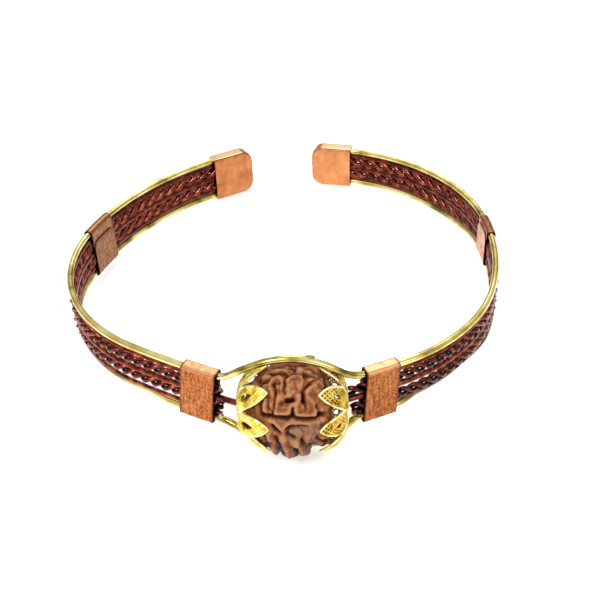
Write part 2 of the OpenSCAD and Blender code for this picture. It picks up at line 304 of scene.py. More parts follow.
@dataclass(frozen=True)
class OxidisedCopper(Finish):
    """Copper wire under a dark oxide skin: red brown with pale highlights, and painted shade near black in
    the twists.
    """

    name: str = "oxidised_copper_wire"
    slot: str = "dark_copper_wire"
    dark: str = "#521206"
    plain: str = "#8A3018"
    rubbed: str = "#B8603E"
    # painted shade: the near-black colour laid where the strands meet, beside the bead, along the right front
    # and on the rear's plain wires
    smoke: str = "#2A0804"
    patch: float = 1.2
    grain: Grain = Grain(0.3, 3.0, (0.2, 0.32), 0.08, 0.02)

    def nodes(self, tree: Tree, place: Socket) -> Settings:
        """Adds oxide patches, rubbed to red copper in places, with painted shade over them, under a thin
        gloss.

        Args:
            tree: the material's node tree.
            place: the Object coordinates.

        Returns:
            What the Principled shader takes.
        """
        patches = {"Scale": per_mm(self.patch), "Detail": 5.0, "Vector": place}
        shade = add_node(tree, "ShaderNodeTexNoise", patches).outputs["Fac"]
        stops = [(0.36, self.dark), (0.5, self.plain), (0.66, self.rubbed)]
        colour = add_node(tree, "ShaderNodeValToRGB", {"stops": stops, "Fac": shade}).outputs["Color"]
        # lays the painted shade over the copper
        smoked = layered(tree, colour, {"smoked": self.smoke})
        coat = {"Coat Weight": 0.24, "Coat Roughness": 0.06}
        return {"Metallic": 0.95, **coat, "Base Color": smoked, **self.grain.laid(tree, place)[1]}


@dataclass(frozen=True)
class CopperSheet(Finish):
    """Rolled copper sheet, dulled by hand: mottled orange with darker pits and a satin sheen."""

    name: str = "satin_copper_sheet"
    slot: str = "copper_sheet"
    dark: str = "#824018"
    plain: str = "#B56635"
    pale: str = "#D08E5A"
    # a darker colour for the clips' sheet edges, and painted shade along the caps' folds
    rim: str = "#3C1A0C"
    # painted highlight: a pale colour laid over the tops of the clips' folds and the caps' flat faces, where
    # light falls
    worn: str = "#DFA878"
    mottle: float = 0.34
    depth: float = 0.03
    streak: float = 0.12
    streak_width: float = 0.25

    def nodes(self, tree: Tree, place: Socket) -> Settings:
        """Adds mottling, upright brush streaks, a painted highlight and a darker rim colour, each as far as
        the piece's attributes say.

        Args:
            tree: the material's node tree.
            place: the Object coordinates.

        Returns:
            What the Principled shader takes.
        """
        spots, takes = Grain(self.mottle, 6.0, (0.48, 0.3), 0.6, self.depth, 0.65).laid(tree, place)
        tall = add_node(tree, "ShaderNodeMapping", {"Scale": (1.0, 1.0, 0.12), "Vector": place})
        brushed = {"Scale": per_mm(self.streak_width), "Detail": 3.0, "Vector": tall.outputs["Vector"]}
        streaks = add_node(tree, "ShaderNodeTexNoise", brushed).outputs["Fac"]
        limits = {"From Min": 0.3, "From Max": 0.7, "To Min": -self.streak, "To Max": self.streak}
        shift = add_node(tree, "ShaderNodeMapRange", {**limits, "Value": streaks}).outputs["Result"]
        tone = add_node(tree, "ShaderNodeMath", {"operation": "ADD", 0: spots, 1: shift}).outputs["Value"]
        stops = [(0.34, self.dark), (0.5, self.plain), (0.68, self.pale)]
        colour = add_node(tree, "ShaderNodeValToRGB", {"stops": stops, "Fac": tone}).outputs["Color"]
        # lays the painted highlight, then the rim colour
        with_painted_light = layered(tree, colour, {"worn": self.worn, "rim": self.rim})
        return {"Metallic": 1.0, "Base Color": with_painted_light, **takes}


@dataclass(frozen=True)
class GoldFiligree(Finish):
    """Gold-washed filigree wire: warm yellow, brighter where it is rubbed and browner in other small patches.
    """

    name: str = "gold_washed_filigree"
    slot: str = "gold_filigree"
    dark: str = "#C49426"
    plain: str = "#F4DC50"
    bright: str = "#FFF49C"
    wear: Grain = Grain(1.0, 4.0, (0.42, 0.3))

    def nodes(self, tree: Tree, place: Socket) -> Settings:
        """Adds wear in small patches.

        Args:
            tree: the material's node tree.
            place: the Object coordinates.

        Returns:
            What the Principled shader takes.
        """
        shade, takes = self.wear.laid(tree, place)
        stops = [(0.34, self.dark), (0.48, self.plain), (0.64, self.bright)]
        colour = add_node(tree, "ShaderNodeValToRGB", {"stops": stops, "Fac": shade}).outputs["Color"]
        return {"Metallic": 0.85, "Base Color": colour, **takes}


@dataclass(frozen=True)
class DullSolder(Finish):
    """A frozen drop of solder: pale tan-grey metal, grained and a little rough."""

    name: str = "dull_grey_solder"
    slot: str = ""
    dark: str = "#7A6450"
    pale: str = "#DDD0B8"
    spot: float = 0.3

    def nodes(self, tree: Tree, place: Socket) -> Settings:
        """Adds dross in small spots.

        Args:
            tree: the material's node tree.
            place: the Object coordinates.

        Returns:
            What the Principled shader takes.
        """
        spots = {"Scale": per_mm(self.spot), "Detail": 3.0, "Vector": place}
        dross = add_node(tree, "ShaderNodeTexNoise", spots).outputs["Fac"]
        ramp = {"stops": [(0.35, self.dark), (0.6, self.pale)], "Fac": dross}
        colour = add_node(tree, "ShaderNodeValToRGB", ramp).outputs["Color"]
        return {"Metallic": 0.9, "Roughness": 0.38, "Base Color": colour}


@dataclass(frozen=True)
class RudrakshaSeed(Finish):
    """Oiled rudraksha seed: red brown ridges, near-black furrows partly of painted shade, painted highlight
    on the crests, dusty grey on one low patch.
    """

    name: str = "oiled_rudraksha_seed"
    slot: str = "rudraksha"
    # the ramp from furrow to crest is the seed's own colour, with painted shade in the furrows and painted
    # highlight on the crests
    furrow: str = "#3E1404"
    slope: str = "#6A3211"
    ridge: str = "#945628"
    crest: str = "#B47E52"
    dust: tuple[str, str] = ("#4C382A", "#8E7563")
    stain: float = 0.2
    wood: Grain = Grain(0.8, 6.0, (0.4, 0.6), harshness=0.6)
    pore: float = 0.22
    pore_depth: float = 0.06

    def nodes(self, tree: Tree, place: Socket) -> Settings:
        """Adds colour by the height of the carved relief, with painted shade and highlight in it, woody grain
        and small pores.

        Args:
            tree: the material's node tree.
            place: the Object coordinates.

        Returns:
            What the Principled shader takes.
        """
        wood, takes = self.wood.laid(tree, place)
        limits = {"From Min": 0.2, "From Max": 0.8, "To Min": -self.stain, "To Max": self.stain}
        stain = add_node(tree, "ShaderNodeMapRange", {**limits, "Value": wood}).outputs["Result"]
        relief = add_node(tree, "ShaderNodeAttribute", {"attribute_name": "relief"}).outputs["Fac"]
        height = add_node(tree, "ShaderNodeMath", {"operation": "ADD", 0: relief, 1: stain})
        stops = [(0.1, self.furrow), (0.38, self.slope), (0.62, self.ridge), (0.9, self.crest)]
        ramp = {"stops": stops, "Fac": height.outputs["Value"]}
        colour = add_node(tree, "ShaderNodeValToRGB", ramp).outputs["Color"]
        holes = {"Scale": per_mm(self.pore), "Detail": 4.0, "Vector": place}
        pores = add_node(tree, "ShaderNodeTexNoise", holes).outputs["Fac"]
        ramp = {"stops": [(0.38, self.dust[0]), (0.62, self.dust[1])], "Fac": pores}
        dust = add_node(tree, "ShaderNodeValToRGB", ramp).outputs["Color"]
        depth = {"Strength": 0.5, "Distance": self.pore_depth * MM, "Height": pores}
        bump = add_node(tree, "ShaderNodeBump", depth).outputs["Normal"]
        dusted = layered(tree, colour, {"dust": dust})
        return {"Specular IOR Level": 0.35, "Base Color": dusted, "Normal": bump, **takes}


@dataclass(frozen=True)
class StudioPaper(Finish):
    """Matt white studio paper, lit to near white by a faint even glow, as if from below."""

    name: str = "white_studio_paper"
    slot: str = ""
    white: str = "#FAFAFA"
    light: str = "#FFFFFF"
    glow: float = 0.36

    def nodes(self, tree: Tree, place: Socket) -> Settings:
        """Sets the paper's even white, which needs no nodes of its own."""
        glow = {"Emission Color": linear(self.light), "Emission Strength": self.glow}
        return {"Base Color": linear(self.white), "Roughness": 0.9, **glow}


# Working with meshes


def only(piece: Piece) -> None:
    """Selects one object alone and makes it active.

    Args:
        piece: the object.
    """
    bpy.ops.object.select_all(action="DESELECT")
    piece.select_set(True)
    bpy.context.view_layer.objects.active = piece


def started(name: str, add: Callable[..., Any], **settings: Any) -> Piece:
    """Starts a piece from a primitive.

    Args:
        name: the piece's name.
        add: the operator that adds the primitive.
        settings: the operator's settings.

    Returns:
        The new object, with its turn and its scale put into its mesh.
    """
    bpy.ops.object.select_all(action="DESELECT")
    add(**settings)
    piece = bpy.context.view_layer.objects.active
    piece.name = piece.data.name = name
    only(piece)
    bpy.ops.object.transform_apply(location=False, rotation=True, scale=True)
    return piece


def modified(piece: Piece, kind: str, **settings: Any) -> None:
    """Adds a modifier to a piece and applies it.

    Args:
        piece: the object.
        kind: the modifier's type name.
        settings: the modifier's settings.
    """
    only(piece)
    modifier = piece.modifiers.new(kind.lower(), kind)
    for name, value in settings.items():
        setattr(modifier, name, value)
    bpy.ops.object.modifier_apply(modifier=modifier.name)


def thickened(piece: Piece, sheet: float, offset: float, round_off: float) -> None:
    """Gives a shell its thickness.

    Args:
        piece: the shell.
        sheet: the thickness in millimetres.
        offset: 0 to both sides of the shell, -1 to its inside alone.
        round_off: how far its sharp edges are rounded, in millimetres.
    """
    modified(piece, "SOLIDIFY", thickness=sheet * MM, offset=offset, use_even_offset=True)
    sharp = {"limit_method": "ANGLE", "angle_limit": math.radians(60)}
    modified(piece, "BEVEL", width=round_off * MM, segments=2, **sharp)


def edited(
    piece: Piece, part: MeshPart, wanted: Callable[[Any], bool], operator: Callable[..., Any], **settings: Any
) -> None:
    """Runs an edit-mode operator on the edges or faces of a piece that pass a test.

    Args:
        piece: the object.
        part: what is selected.
        wanted: the test for an edge or a face.
        operator: the operator.
        settings: the operator's settings.
    """
    only(piece)
    bpy.ops.object.mode_set(mode="EDIT")
    bpy.ops.mesh.select_mode(type=part.value)
    bpy.ops.mesh.select_all(action="DESELECT")
    bpy.ops.object.mode_set(mode="OBJECT")
    for item in piece.data.edges if part is MeshPart.EDGES else piece.data.polygons:
        item.select = wanted(item)
    bpy.ops.object.mode_set(mode="EDIT")
    operator(**settings)
    bpy.ops.object.mode_set(mode="OBJECT")


def reshape(piece: Piece, moved: Callable[[Vector], Vector]) -> None:
    """Moves every vertex of a piece to the place that a function gives for it.

    Args:
        piece: the object.
        moved: gives a vertex's new place for its old one.
    """
    for vertex in piece.data.vertices:
        vertex.co = moved(vertex.co)
    piece.data.update()


def turned_out(piece: Piece) -> None:
    """Turns all of a piece's faces outward."""
    edited(piece, MeshPart.FACES, lambda face: True, bpy.ops.mesh.normals_make_consistent, inside=False)


def store(piece: Piece, name: str, values: Sequence[float]) -> None:
    """Stores one value for each vertex as an attribute, for the piece's finish."""
    layer = piece.data.attributes.new(name, "FLOAT", "POINT")
    layer.data.foreach_set("value", values)


def smooth(piece: Piece, angle: float) -> None:
    """Shades a piece smooth, with edges sharper than an angle in degrees kept."""
    only(piece)
    bpy.ops.object.shade_smooth_by_angle(angle=math.radians(angle))


def finished(piece: Piece, finish: Finish, *nodes: str) -> None:
    """Gives a piece its finish, its body and the CAD nodes that it stands for.

    Args:
        piece: the new object, in place.
        finish: the finish that it takes.
        nodes: the names of the CAD nodes that it replaces.
    """
    finish.put_on(piece)
    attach(piece, "root")
    if nodes:
        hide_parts(*nodes)
    stands_for = ", ".join(nodes) or "itself"
    LOG.info("%s: %d faces, stands for %s", piece.name, len(piece.data.polygons), stands_for)


@dataclass(frozen=True)
class WirePath:
    """A wire's middle line: its points in metres, its radius in millimetres and how it ends.

    The taper, where it is given, is a share of the radius for each point.
    """

    points: Sequence[Vector]
    radius: float
    end: WireEnd = WireEnd.CUT
    taper: Sequence[float] | None = None


def drawn(name: str, paths: Sequence[WirePath], sides: int) -> Piece:
    """Draws wires as bevelled curves and turns them into one mesh.

    Args:
        name: the piece's name.
        paths: the wires.
        sides: how many sides the wires have, an even number from 4.

    Returns:
        The mesh object.
    """
    bpy.ops.object.select_all(action="DESELECT")
    thickest = max(path.radius for path in paths)
    curve = bpy.data.curves.new(name, "CURVE")
    curve.dimensions = "3D"
    curve.twist_mode = "MINIMUM"
    curve.bevel_depth = thickest * MM
    curve.bevel_resolution = (sides - 4) // 2
    curve.use_fill_caps = True
    for path in paths:
        spline = curve.splines.new("POLY")
        spline.points.add(len(path.points) - 1)
        share = path.radius / thickest
        for i, (knot, place) in enumerate(zip(spline.points, path.points)):
            knot.co = (*place, 1.0)
            knot.radius = share * (path.taper[i] if path.taper else 1.0)
        spline.use_cyclic_u = path.end is WireEnd.CLOSED
    piece = bpy.data.objects.new(name, curve)
    bpy.context.scene.collection.objects.link(piece)
    only(piece)
    bpy.ops.object.convert(target="MESH")
    piece = bpy.context.view_layer.objects.active
    piece.data.name = name
    smooth(piece, 60)
    return piece


# The cuff's plan


@dataclass(frozen=True)
class CuffPlan:
    """The plan that every wire of the cuff follows, and how the cuff lies on the surface.

    A bend is a radius and a turn in degrees. The band is pinched at the right rear clip and cap,
    and its copper takes painted shade beside the bead and along the right front. A shade end is a
    distance to the side of the bead and the length over which the painted shade fades there.
    """

    bead_setback: float = 33.0
    bead_straight: float = 4.8
    right_pinch: float = 0.1
    left_spread: float = 0.04
    left_bends: tuple[Pair, ...] = ((7.1, 26), (137, 7), (26.1, 75.8), (44.5, 50.5))
    right_bends: tuple[Pair, ...] = ((7.2, 19), (91.3, 5.6), (28.1, 47.1), (46.1, 25.8), (29.4, 79.7))
    cap_length: float = 7.9
    wire_in_cap: float = 4.5
    rest_tilt: float = 3.36742
    outline_middle: Pair = (-0.460675, -2.31415)
    rest_lift: float = 6.46298
    rear_start: float = 42.0
    rear_reach: float = 12.0
    clip_pinch: float = 0.32
    clip_pinch_y: float = 4.6
    clip_pinch_reach: float = 6.5
    cap_pinch: float = 0.15
    cap_pinch_y: float = 22.0
    cap_pinch_reach: float = 10.0
    front_end_y: float = -8.0
    rear_smoke_rise: float = 8.0
    bead_smoke: float = 0.55
    bead_smoke_end: Pair = (14.0, 3.0)
    right_smoke: float = 0.42
    right_smoke_end: Pair = (30.0, 9.0)

    def bends(self, side: Side) -> tuple[Pair, ...]:
        """The bends of an arm, from the bead."""
        return self.left_bends if side is Side.LEFT else self.right_bends

    def station(self, side: Side, s: float) -> Point:
        """Plan place and heading of an arm, as if it were the right one.

        Args:
            side: the arm.
            s: distance from the bead's middle along it.

        Returns:
            x, y and heading in degrees.
        """
        x, y, heading = min(s, self.bead_straight), -self.bead_setback, 0.0
        left = s - self.bead_straight
        bends = self.bends(side)
        for i, (radius, turn) in enumerate(bends):
            if left <= 0:
                break
            length = radius * math.radians(turn)
            part = left if i == len(bends) - 1 else min(left, length)
            new = heading + math.degrees(part / radius)
            x += radius * (math.sin(math.radians(new)) - math.sin(math.radians(heading)))
            y += radius * (math.cos(math.radians(heading)) - math.cos(math.radians(new)))
            heading = new
            left -= part
        return (x, y, heading)

    def arm_end(self, side: Side) -> float:
        """Length of an arm."""
        return self.bead_straight + sum(r * math.radians(turn) for r, turn in self.bends(side))

    def wire_end(self, side: Side) -> float:
        """Distance from the bead at which an arm's wires end, inside the end cap."""
        return self.arm_end(side) - self.cap_length + self.wire_in_cap

    def width(self, x: float) -> float:
        """Share of the band's width at a place across the cuff."""
        return 1 - (self.right_pinch if x > 0 else self.left_spread) * x / self.bead_setback

    def height(self, heights: Pair, x: float, y: float) -> float:
        """Height of a wire from the band's middle.

        Args:
            heights: its heights at the bead and at the cuff's ends.
            x: place across the cuff.
            y: place from the bead towards the ends.

        Returns:
            The height at that place of the plan.
        """
        share = (1 + y / self.bead_setback) / 2
        z = self.width(x) * between(share, *heights)
        return z * (1 - self.pinched(x, y)) if z < 0 else z

    def pinched(self, x: float, y: float) -> float:
        """How much the band's lower half is pressed up, at a place of the plan.

        Args:
            x: place across the cuff.
            y: place from the bead towards the ends.

        Returns:
            The share of its height that it loses.
        """
        if x < 0:
            return 0.0
        away = (y - self.clip_pinch_y) / self.clip_pinch_reach
        at_clip = math.exp(-(away**2)) if x > 20 else 0.0
        at_cap = clamp((y - self.cap_pinch_y) / self.cap_pinch_reach)
        return self.clip_pinch * at_clip + self.cap_pinch * at_cap

    def on_arm(self, side: Side, s: float, outward: float = 0.0) -> Pair:
        """Plan place at a distance along an arm, moved outward from it.

        Args:
            side: the arm.
            s: distance from the bead's middle along it.
            outward: how far it is moved.

        Returns:
            x and y in the plan.
        """
        x, y, heading = self.station(side, s)
        turn = math.radians(heading)
        return (side.value * (x + outward * math.sin(turn)), y - outward * math.cos(turn))

    def laid(self, x: float, y: float, z: float) -> Vector:
        """A place in the plan as the cuff lies at rest, in metres.

        Args:
            x: place across the cuff.
            y: place from the bead towards the ends.
            z: height from the band's middle.

        Returns:
            The place in the scene.
        """
        tilt = math.radians(self.rest_tilt)
        mid_x, mid_y = self.outline_middle
        laid_y = y * math.cos(tilt) + z * math.sin(tilt)
        laid_z = z * math.cos(tilt) - y * math.sin(tilt)
        return Vector((x - mid_x, laid_y - mid_y, laid_z + self.rest_lift)) * MM

    def rear(self, s: float) -> float:
        """0 along the cuff's front, rising to 1 along its rear, at a distance along the cuff."""
        return eased(clamp((abs(s) - self.rear_start) / self.rear_reach))

    def smoke(self, co: Vector, rear: float = 0.0) -> float:
        """How much painted shade a copper wire takes.

        Args:
            co: a place on it, in metres.
            rear: the share of painted shade that it has along the cuff's rear.

        Returns:
            A share from 0 to 1, most beside the bead.
        """
        x, y = co.x / MM, co.y / MM
        if y > self.front_end_y:
            return rear * min(1.0, (y - self.front_end_y) / self.rear_smoke_rise)
        near = clamp((self.bead_smoke_end[0] - abs(x)) / self.bead_smoke_end[1])
        right = clamp((self.right_smoke_end[0] - x) / self.right_smoke_end[1]) if x > 0 else 0.0
        return max(self.bead_smoke * near, self.right_smoke * right)

    def wire_place(self, heights: Pair, s: float, rise: float = 0.0, outward: float = 0.0) -> Vector:
        """A place on a plain wire; s is negative on the left arm."""
        x, y = self.on_arm(Side.LEFT if s < 0 else Side.RIGHT, abs(s), outward)
        return self.laid(x, y, self.height(heights, x, y) + rise)


PLAN = CuffPlan()


# Wires


@dataclass(frozen=True)
class Run:
    """A wire or pair on one arm: its heights at the bead and at the ends, and where it starts."""

    side: Side
    level: Level
    heights: Pair
    start: float


@dataclass(frozen=True)
class BrassRails:
    """The two round brass wires along the band's edges, which arch over and under the bead.

    An arch is its middle and its reach to the left and right; a tuck is where the lower rail starts
    and ends being pressed in under the wires, and how far. The lower rail has painted shade along
    the two fronts: a shade start is a place and the length over which the painted shade rises or fades there.
    """

    diameter: float = 1.0
    heights: Pair = (3.8, 3.5)
    arch_z: float = 7.9
    upper_arch: Point = (-0.7, 10.6, 10.9)
    lower_arch: Point = (0.0, 10.7, 9.4)
    upper_radius: float = 11.0
    lower_radius: float = 10.0
    right_tuck: Point = (14.8, 36.0, 0.72)
    left_tuck: Point = (19.0, 50.0, 0.45)
    tuck_rise: float = 0.25
    tuck_in: float = 4.0
    tuck_out: float = 9.0
    swell: float = 0.02
    swell_length: float = 3.0
    rail_shade_rear: Pair = (4.0, 8.0)
    right_dullness: float = 0.85
    right_rail_shade_start: Pair = (14.0, 3.0)
    left_dullness: float = 0.75
    left_rail_shade_start: Pair = (22.0, 5.0)
    step: float = 0.5
    finish: AgedBrass = AgedBrass()

    def rise(self, arch: Point, radius: float, s: float) -> float:
        """Height that an arch adds to a rail.

        Args:
            arch: the arch.
            radius: the radius of its round top.
            s: distance along the cuff.

        Returns:
            The height, 0 beyond the arch.
        """
        top = self.arch_z - self.heights[0]
        away = abs(s - arch[0])
        half = arch[1] if s < arch[0] else arch[2]
        slope = 2 * math.atan(top / half)
        fillet = half / math.sin(slope) - radius
        if away >= half:
            return 0.0
        if away < radius * math.sin(slope):
            return top - radius + math.sqrt(radius**2 - away**2)
        return fillet - math.sqrt(fillet**2 - (half - away) ** 2)

    def tuck(self, s: float) -> float:
        """How far the lower rail is pressed in at a distance along the cuff.

        Args:
            s: distance along the cuff, negative on the left arm.

        Returns:
            The distance inward.
        """
        first, last, depth = self.left_tuck if s < 0 else self.right_tuck
        share = min(1.0, (abs(s) - first) / self.tuck_in, (last - abs(s)) / self.tuck_out)
        return depth * eased(max(0.0, share))

    def path(self, level: Level, arch: Point, radius: float) -> WirePath:
        """One rail's middle line.

        Args:
            level: which of the two rails.
            arch: its arch.
            radius: the radius of the arch's round top.

        Returns:
            The path.
        """
        up = level.value
        places, swell = [], []
        for s in spaced(-PLAN.wire_end(Side.LEFT), PLAN.wire_end(Side.RIGHT), self.step):
            tuck = 0.0 if up > 0 else self.tuck(s)
            rise = up * self.rise(arch, radius, s) + self.tuck_rise * tuck
            places.append(PLAN.wire_place((up * self.heights[0], up * self.heights[1]), s, rise, -tuck))
            swell.append(1 + self.swell * noise.noise(Vector((s / self.swell_length, 7.3 * up, 0))))
        return WirePath(places, self.diameter / 2, taper=swell)

    def dullness(self, co: Vector) -> float:
        """How much painted shade the lower rail takes at a place of its mesh: only along the two fronts.

        Args:
            co: the place, in metres.

        Returns:
            A share from 0 to 1.
        """
        x, front = co.x / MM, clamp((self.rail_shade_rear[0] - co.y / MM) / self.rail_shade_rear[1])
        right = clamp((x - self.right_rail_shade_start[0]) / self.right_rail_shade_start[1]) * front
        left = clamp((-self.left_rail_shade_start[0] - x) / self.left_rail_shade_start[1]) * front
        return self.right_dullness * right + self.left_dullness * left

    def build(self) -> None:
        """Draws both rails."""
        upper = drawn("upper_brass_rail", [self.path(Level.UPPER, self.upper_arch, self.upper_radius)], 16)
        finished(upper, self.finish, "upper_rail")
        lower = drawn("lower_brass_rail", [self.path(Level.LOWER, self.lower_arch, self.lower_radius)], 16)
        # painted shade on the lower rail along the two fronts
        store(lower, "dulled", [self.dullness(v.co) for v in lower.data.vertices])
        finished(lower, self.finish, "lower_rail")


@dataclass(frozen=True)
class PlainWires:
    """The centre wire that carries the bead, and the thin wires beside the rails.

    Along the cuff's rear they are some times as thick.
    """

    centre_diameter: float = 0.9
    centre_heights: Pair = (0.05, 0.05)
    upper_diameter: float = 0.5
    lower_diameter: float = 0.6
    thin: tuple[Run, ...] = (
        Run(Side.LEFT, Level.UPPER, (2.76, 2.44), 10.2),
        Run(Side.RIGHT, Level.UPPER, (2.76, 2.44), 9.2),
        Run(Side.LEFT, Level.LOWER, (-2.78, -2.36), 10.3),
        Run(Side.RIGHT, Level.LOWER, (-2.8, -2.32), 8.0),
    )
    centre_rear: float = 1.4
    thin_rear: float = 1.75
    rear_smoke: float = 0.6
    step: float = 0.6
    finish: OxidisedCopper = OxidisedCopper()

    def path(self, heights: Pair, ends: Sequence[float], radius: float, rear: float) -> WirePath:
        """A plain wire's middle line.

        Args:
            heights: its heights at the bead and at the cuff's ends.
            ends: the distances along the cuff between which it runs.
            radius: its radius along the front.
            rear: how many times as thick it is along the rear.

        Returns:
            The path.
        """
        stations = spaced(*ends, self.step)
        places = [PLAN.wire_place(heights, s) for s in stations]
        return WirePath(places, radius, taper=[1 + (rear - 1) * PLAN.rear(s) for s in stations])

    def add(self, name: str, path: WirePath, sides: int, node: str) -> None:
        """Draws one wire and stores how much painted shade it takes.

        Args:
            name: the piece's name.
            path: the wire's path.
            sides: how many sides it has.
            node: the CAD node that it stands for.
        """
        wire = drawn(name, [path], sides)
        # painted shade beside the bead, along the right front and along the rear
        store(wire, "smoked", [PLAN.smoke(v.co, self.rear_smoke) for v in wire.data.vertices])
        finished(wire, self.finish, node)

    def build(self) -> None:
        """Draws the centre wire and the four thin wires."""
        ends = (-PLAN.wire_end(Side.LEFT), PLAN.wire_end(Side.RIGHT))
        path = self.path(self.centre_heights, ends, self.centre_diameter / 2, self.centre_rear)
        self.add("centre_copper_wire", path, 12, "centre_wire")
        for run in self.thin:
            way, where = run.side.value, f"{run.side.word}_{run.level.word}"
            diameter = self.upper_diameter if run.level is Level.UPPER else self.lower_diameter
            ends = sorted((way * run.start, way * PLAN.wire_end(run.side)))
            path = self.path(run.heights, ends, diameter / 2, self.thin_rear)
            self.add(f"{where}_thin_copper", path, 8, f"{where}_thin_wire")


@dataclass(frozen=True)
class TwistedPairs:
    """Four pairs of copper strands, each pair twisted tightly and cut off beside the bead.

    Along the cuff's rear the strands are thicker and twisted more loosely. A strand takes painted
    shade where it faces the other: meeting is where that starts behind its side, and over how much it rises.
    """

    strand_diameter: float = 0.7
    offset_across: float = 0.36
    offset_up: float = 0.42
    pitch: float = 3.6
    rear_pitch: float = 4.7
    pairs: tuple[Run, ...] = (
        Run(Side.LEFT, Level.UPPER, (1.44, 1.3), 10.1),
        Run(Side.RIGHT, Level.UPPER, (1.46, 1.32), 7.6),
        Run(Side.LEFT, Level.LOWER, (-1.14, -1.24), 10.0),
        Run(Side.RIGHT, Level.LOWER, (-1.84, -1.26), 8.0),
    )
    lower_turn: float = 90.0
    meeting: Pair = (0.3, 0.8)
    rear: float = 1.38
    rear_across: float = 0.2
    rear_up: float = 0.6
    step: float = 0.3
    sides: int = 10
    finish: OxidisedCopper = OxidisedCopper()

    def turns(self, s: float) -> float:
        """How many turns a pair has made at a distance along an arm: fewer in each length at the rear."""
        rear = max(0.0, s - PLAN.rear_start)
        return (s - rear) / self.pitch + rear / self.rear_pitch

    def strand(self, run: Run, phase: float) -> WirePath:
        """One strand's helix along an arm.

        Args:
            run: the pair.
            phase: the strand's turn in degrees at the bead.

        Returns:
            The path.
        """
        places, swell = [], []
        for s in spaced(run.start, PLAN.wire_end(run.side), self.step):
            turn = math.radians(360 * self.turns(s) + phase)
            rear = PLAN.rear(s)
            rise = between(rear, self.offset_up, self.rear_up)
            reach = between(rear, self.offset_across, self.rear_across)
            z = PLAN.height(run.heights, *PLAN.on_arm(run.side, s)) + rise * math.sin(turn)
            places.append(PLAN.laid(*PLAN.on_arm(run.side, s, -reach * math.cos(turn)), z))
            swell.append(1 + (self.rear - 1) * rear)
        return WirePath(places, self.strand_diameter / 2, taper=swell)

    def smoke(self, strand: Piece, path: WirePath, other: WirePath) -> list[float]:
        """How much painted shade each of a strand's vertices takes: near black where the pair's two strands
        meet.

        Args:
            strand: the drawn strand, one ring of vertices for each point of its path.
            path: its path.
            other: the path of the pair's other strand.

        Returns:
            One value for each vertex, from 0 to 1.
        """
        values = []
        for i, vertex in enumerate(strand.data.vertices):
            ring = min(i // self.sides, len(path.points) - 1)
            inward = (other.points[ring] - path.points[ring]).normalized()
            facing = (vertex.co - path.points[ring]).normalized().dot(inward)
            # painted shade where the strands meet and shade falls, plus the cuff's painted shade
            dark = max(0.0, (facing + self.meeting[0]) / self.meeting[1])
            values.append(min(1.0, dark + PLAN.smoke(vertex.co)))
        return values

    def build(self) -> None:
        """Draws the eight strands."""
        for run in self.pairs:
            where = f"{run.side.word}_{run.level.word}"
            first = 0.0 if run.level is Level.UPPER else self.lower_turn
            paths = [self.strand(run, first), self.strand(run, first + 180)]
            for letter, path, other in zip("ab", paths, paths[::-1]):
                strand = drawn(f"{where}_twist_{letter}", [path], self.sides)
                store(strand, "smoked", self.smoke(strand, path, other))
                finished(strand, self.finish, f"{where}_strand_{letter}")


# Copper sheet


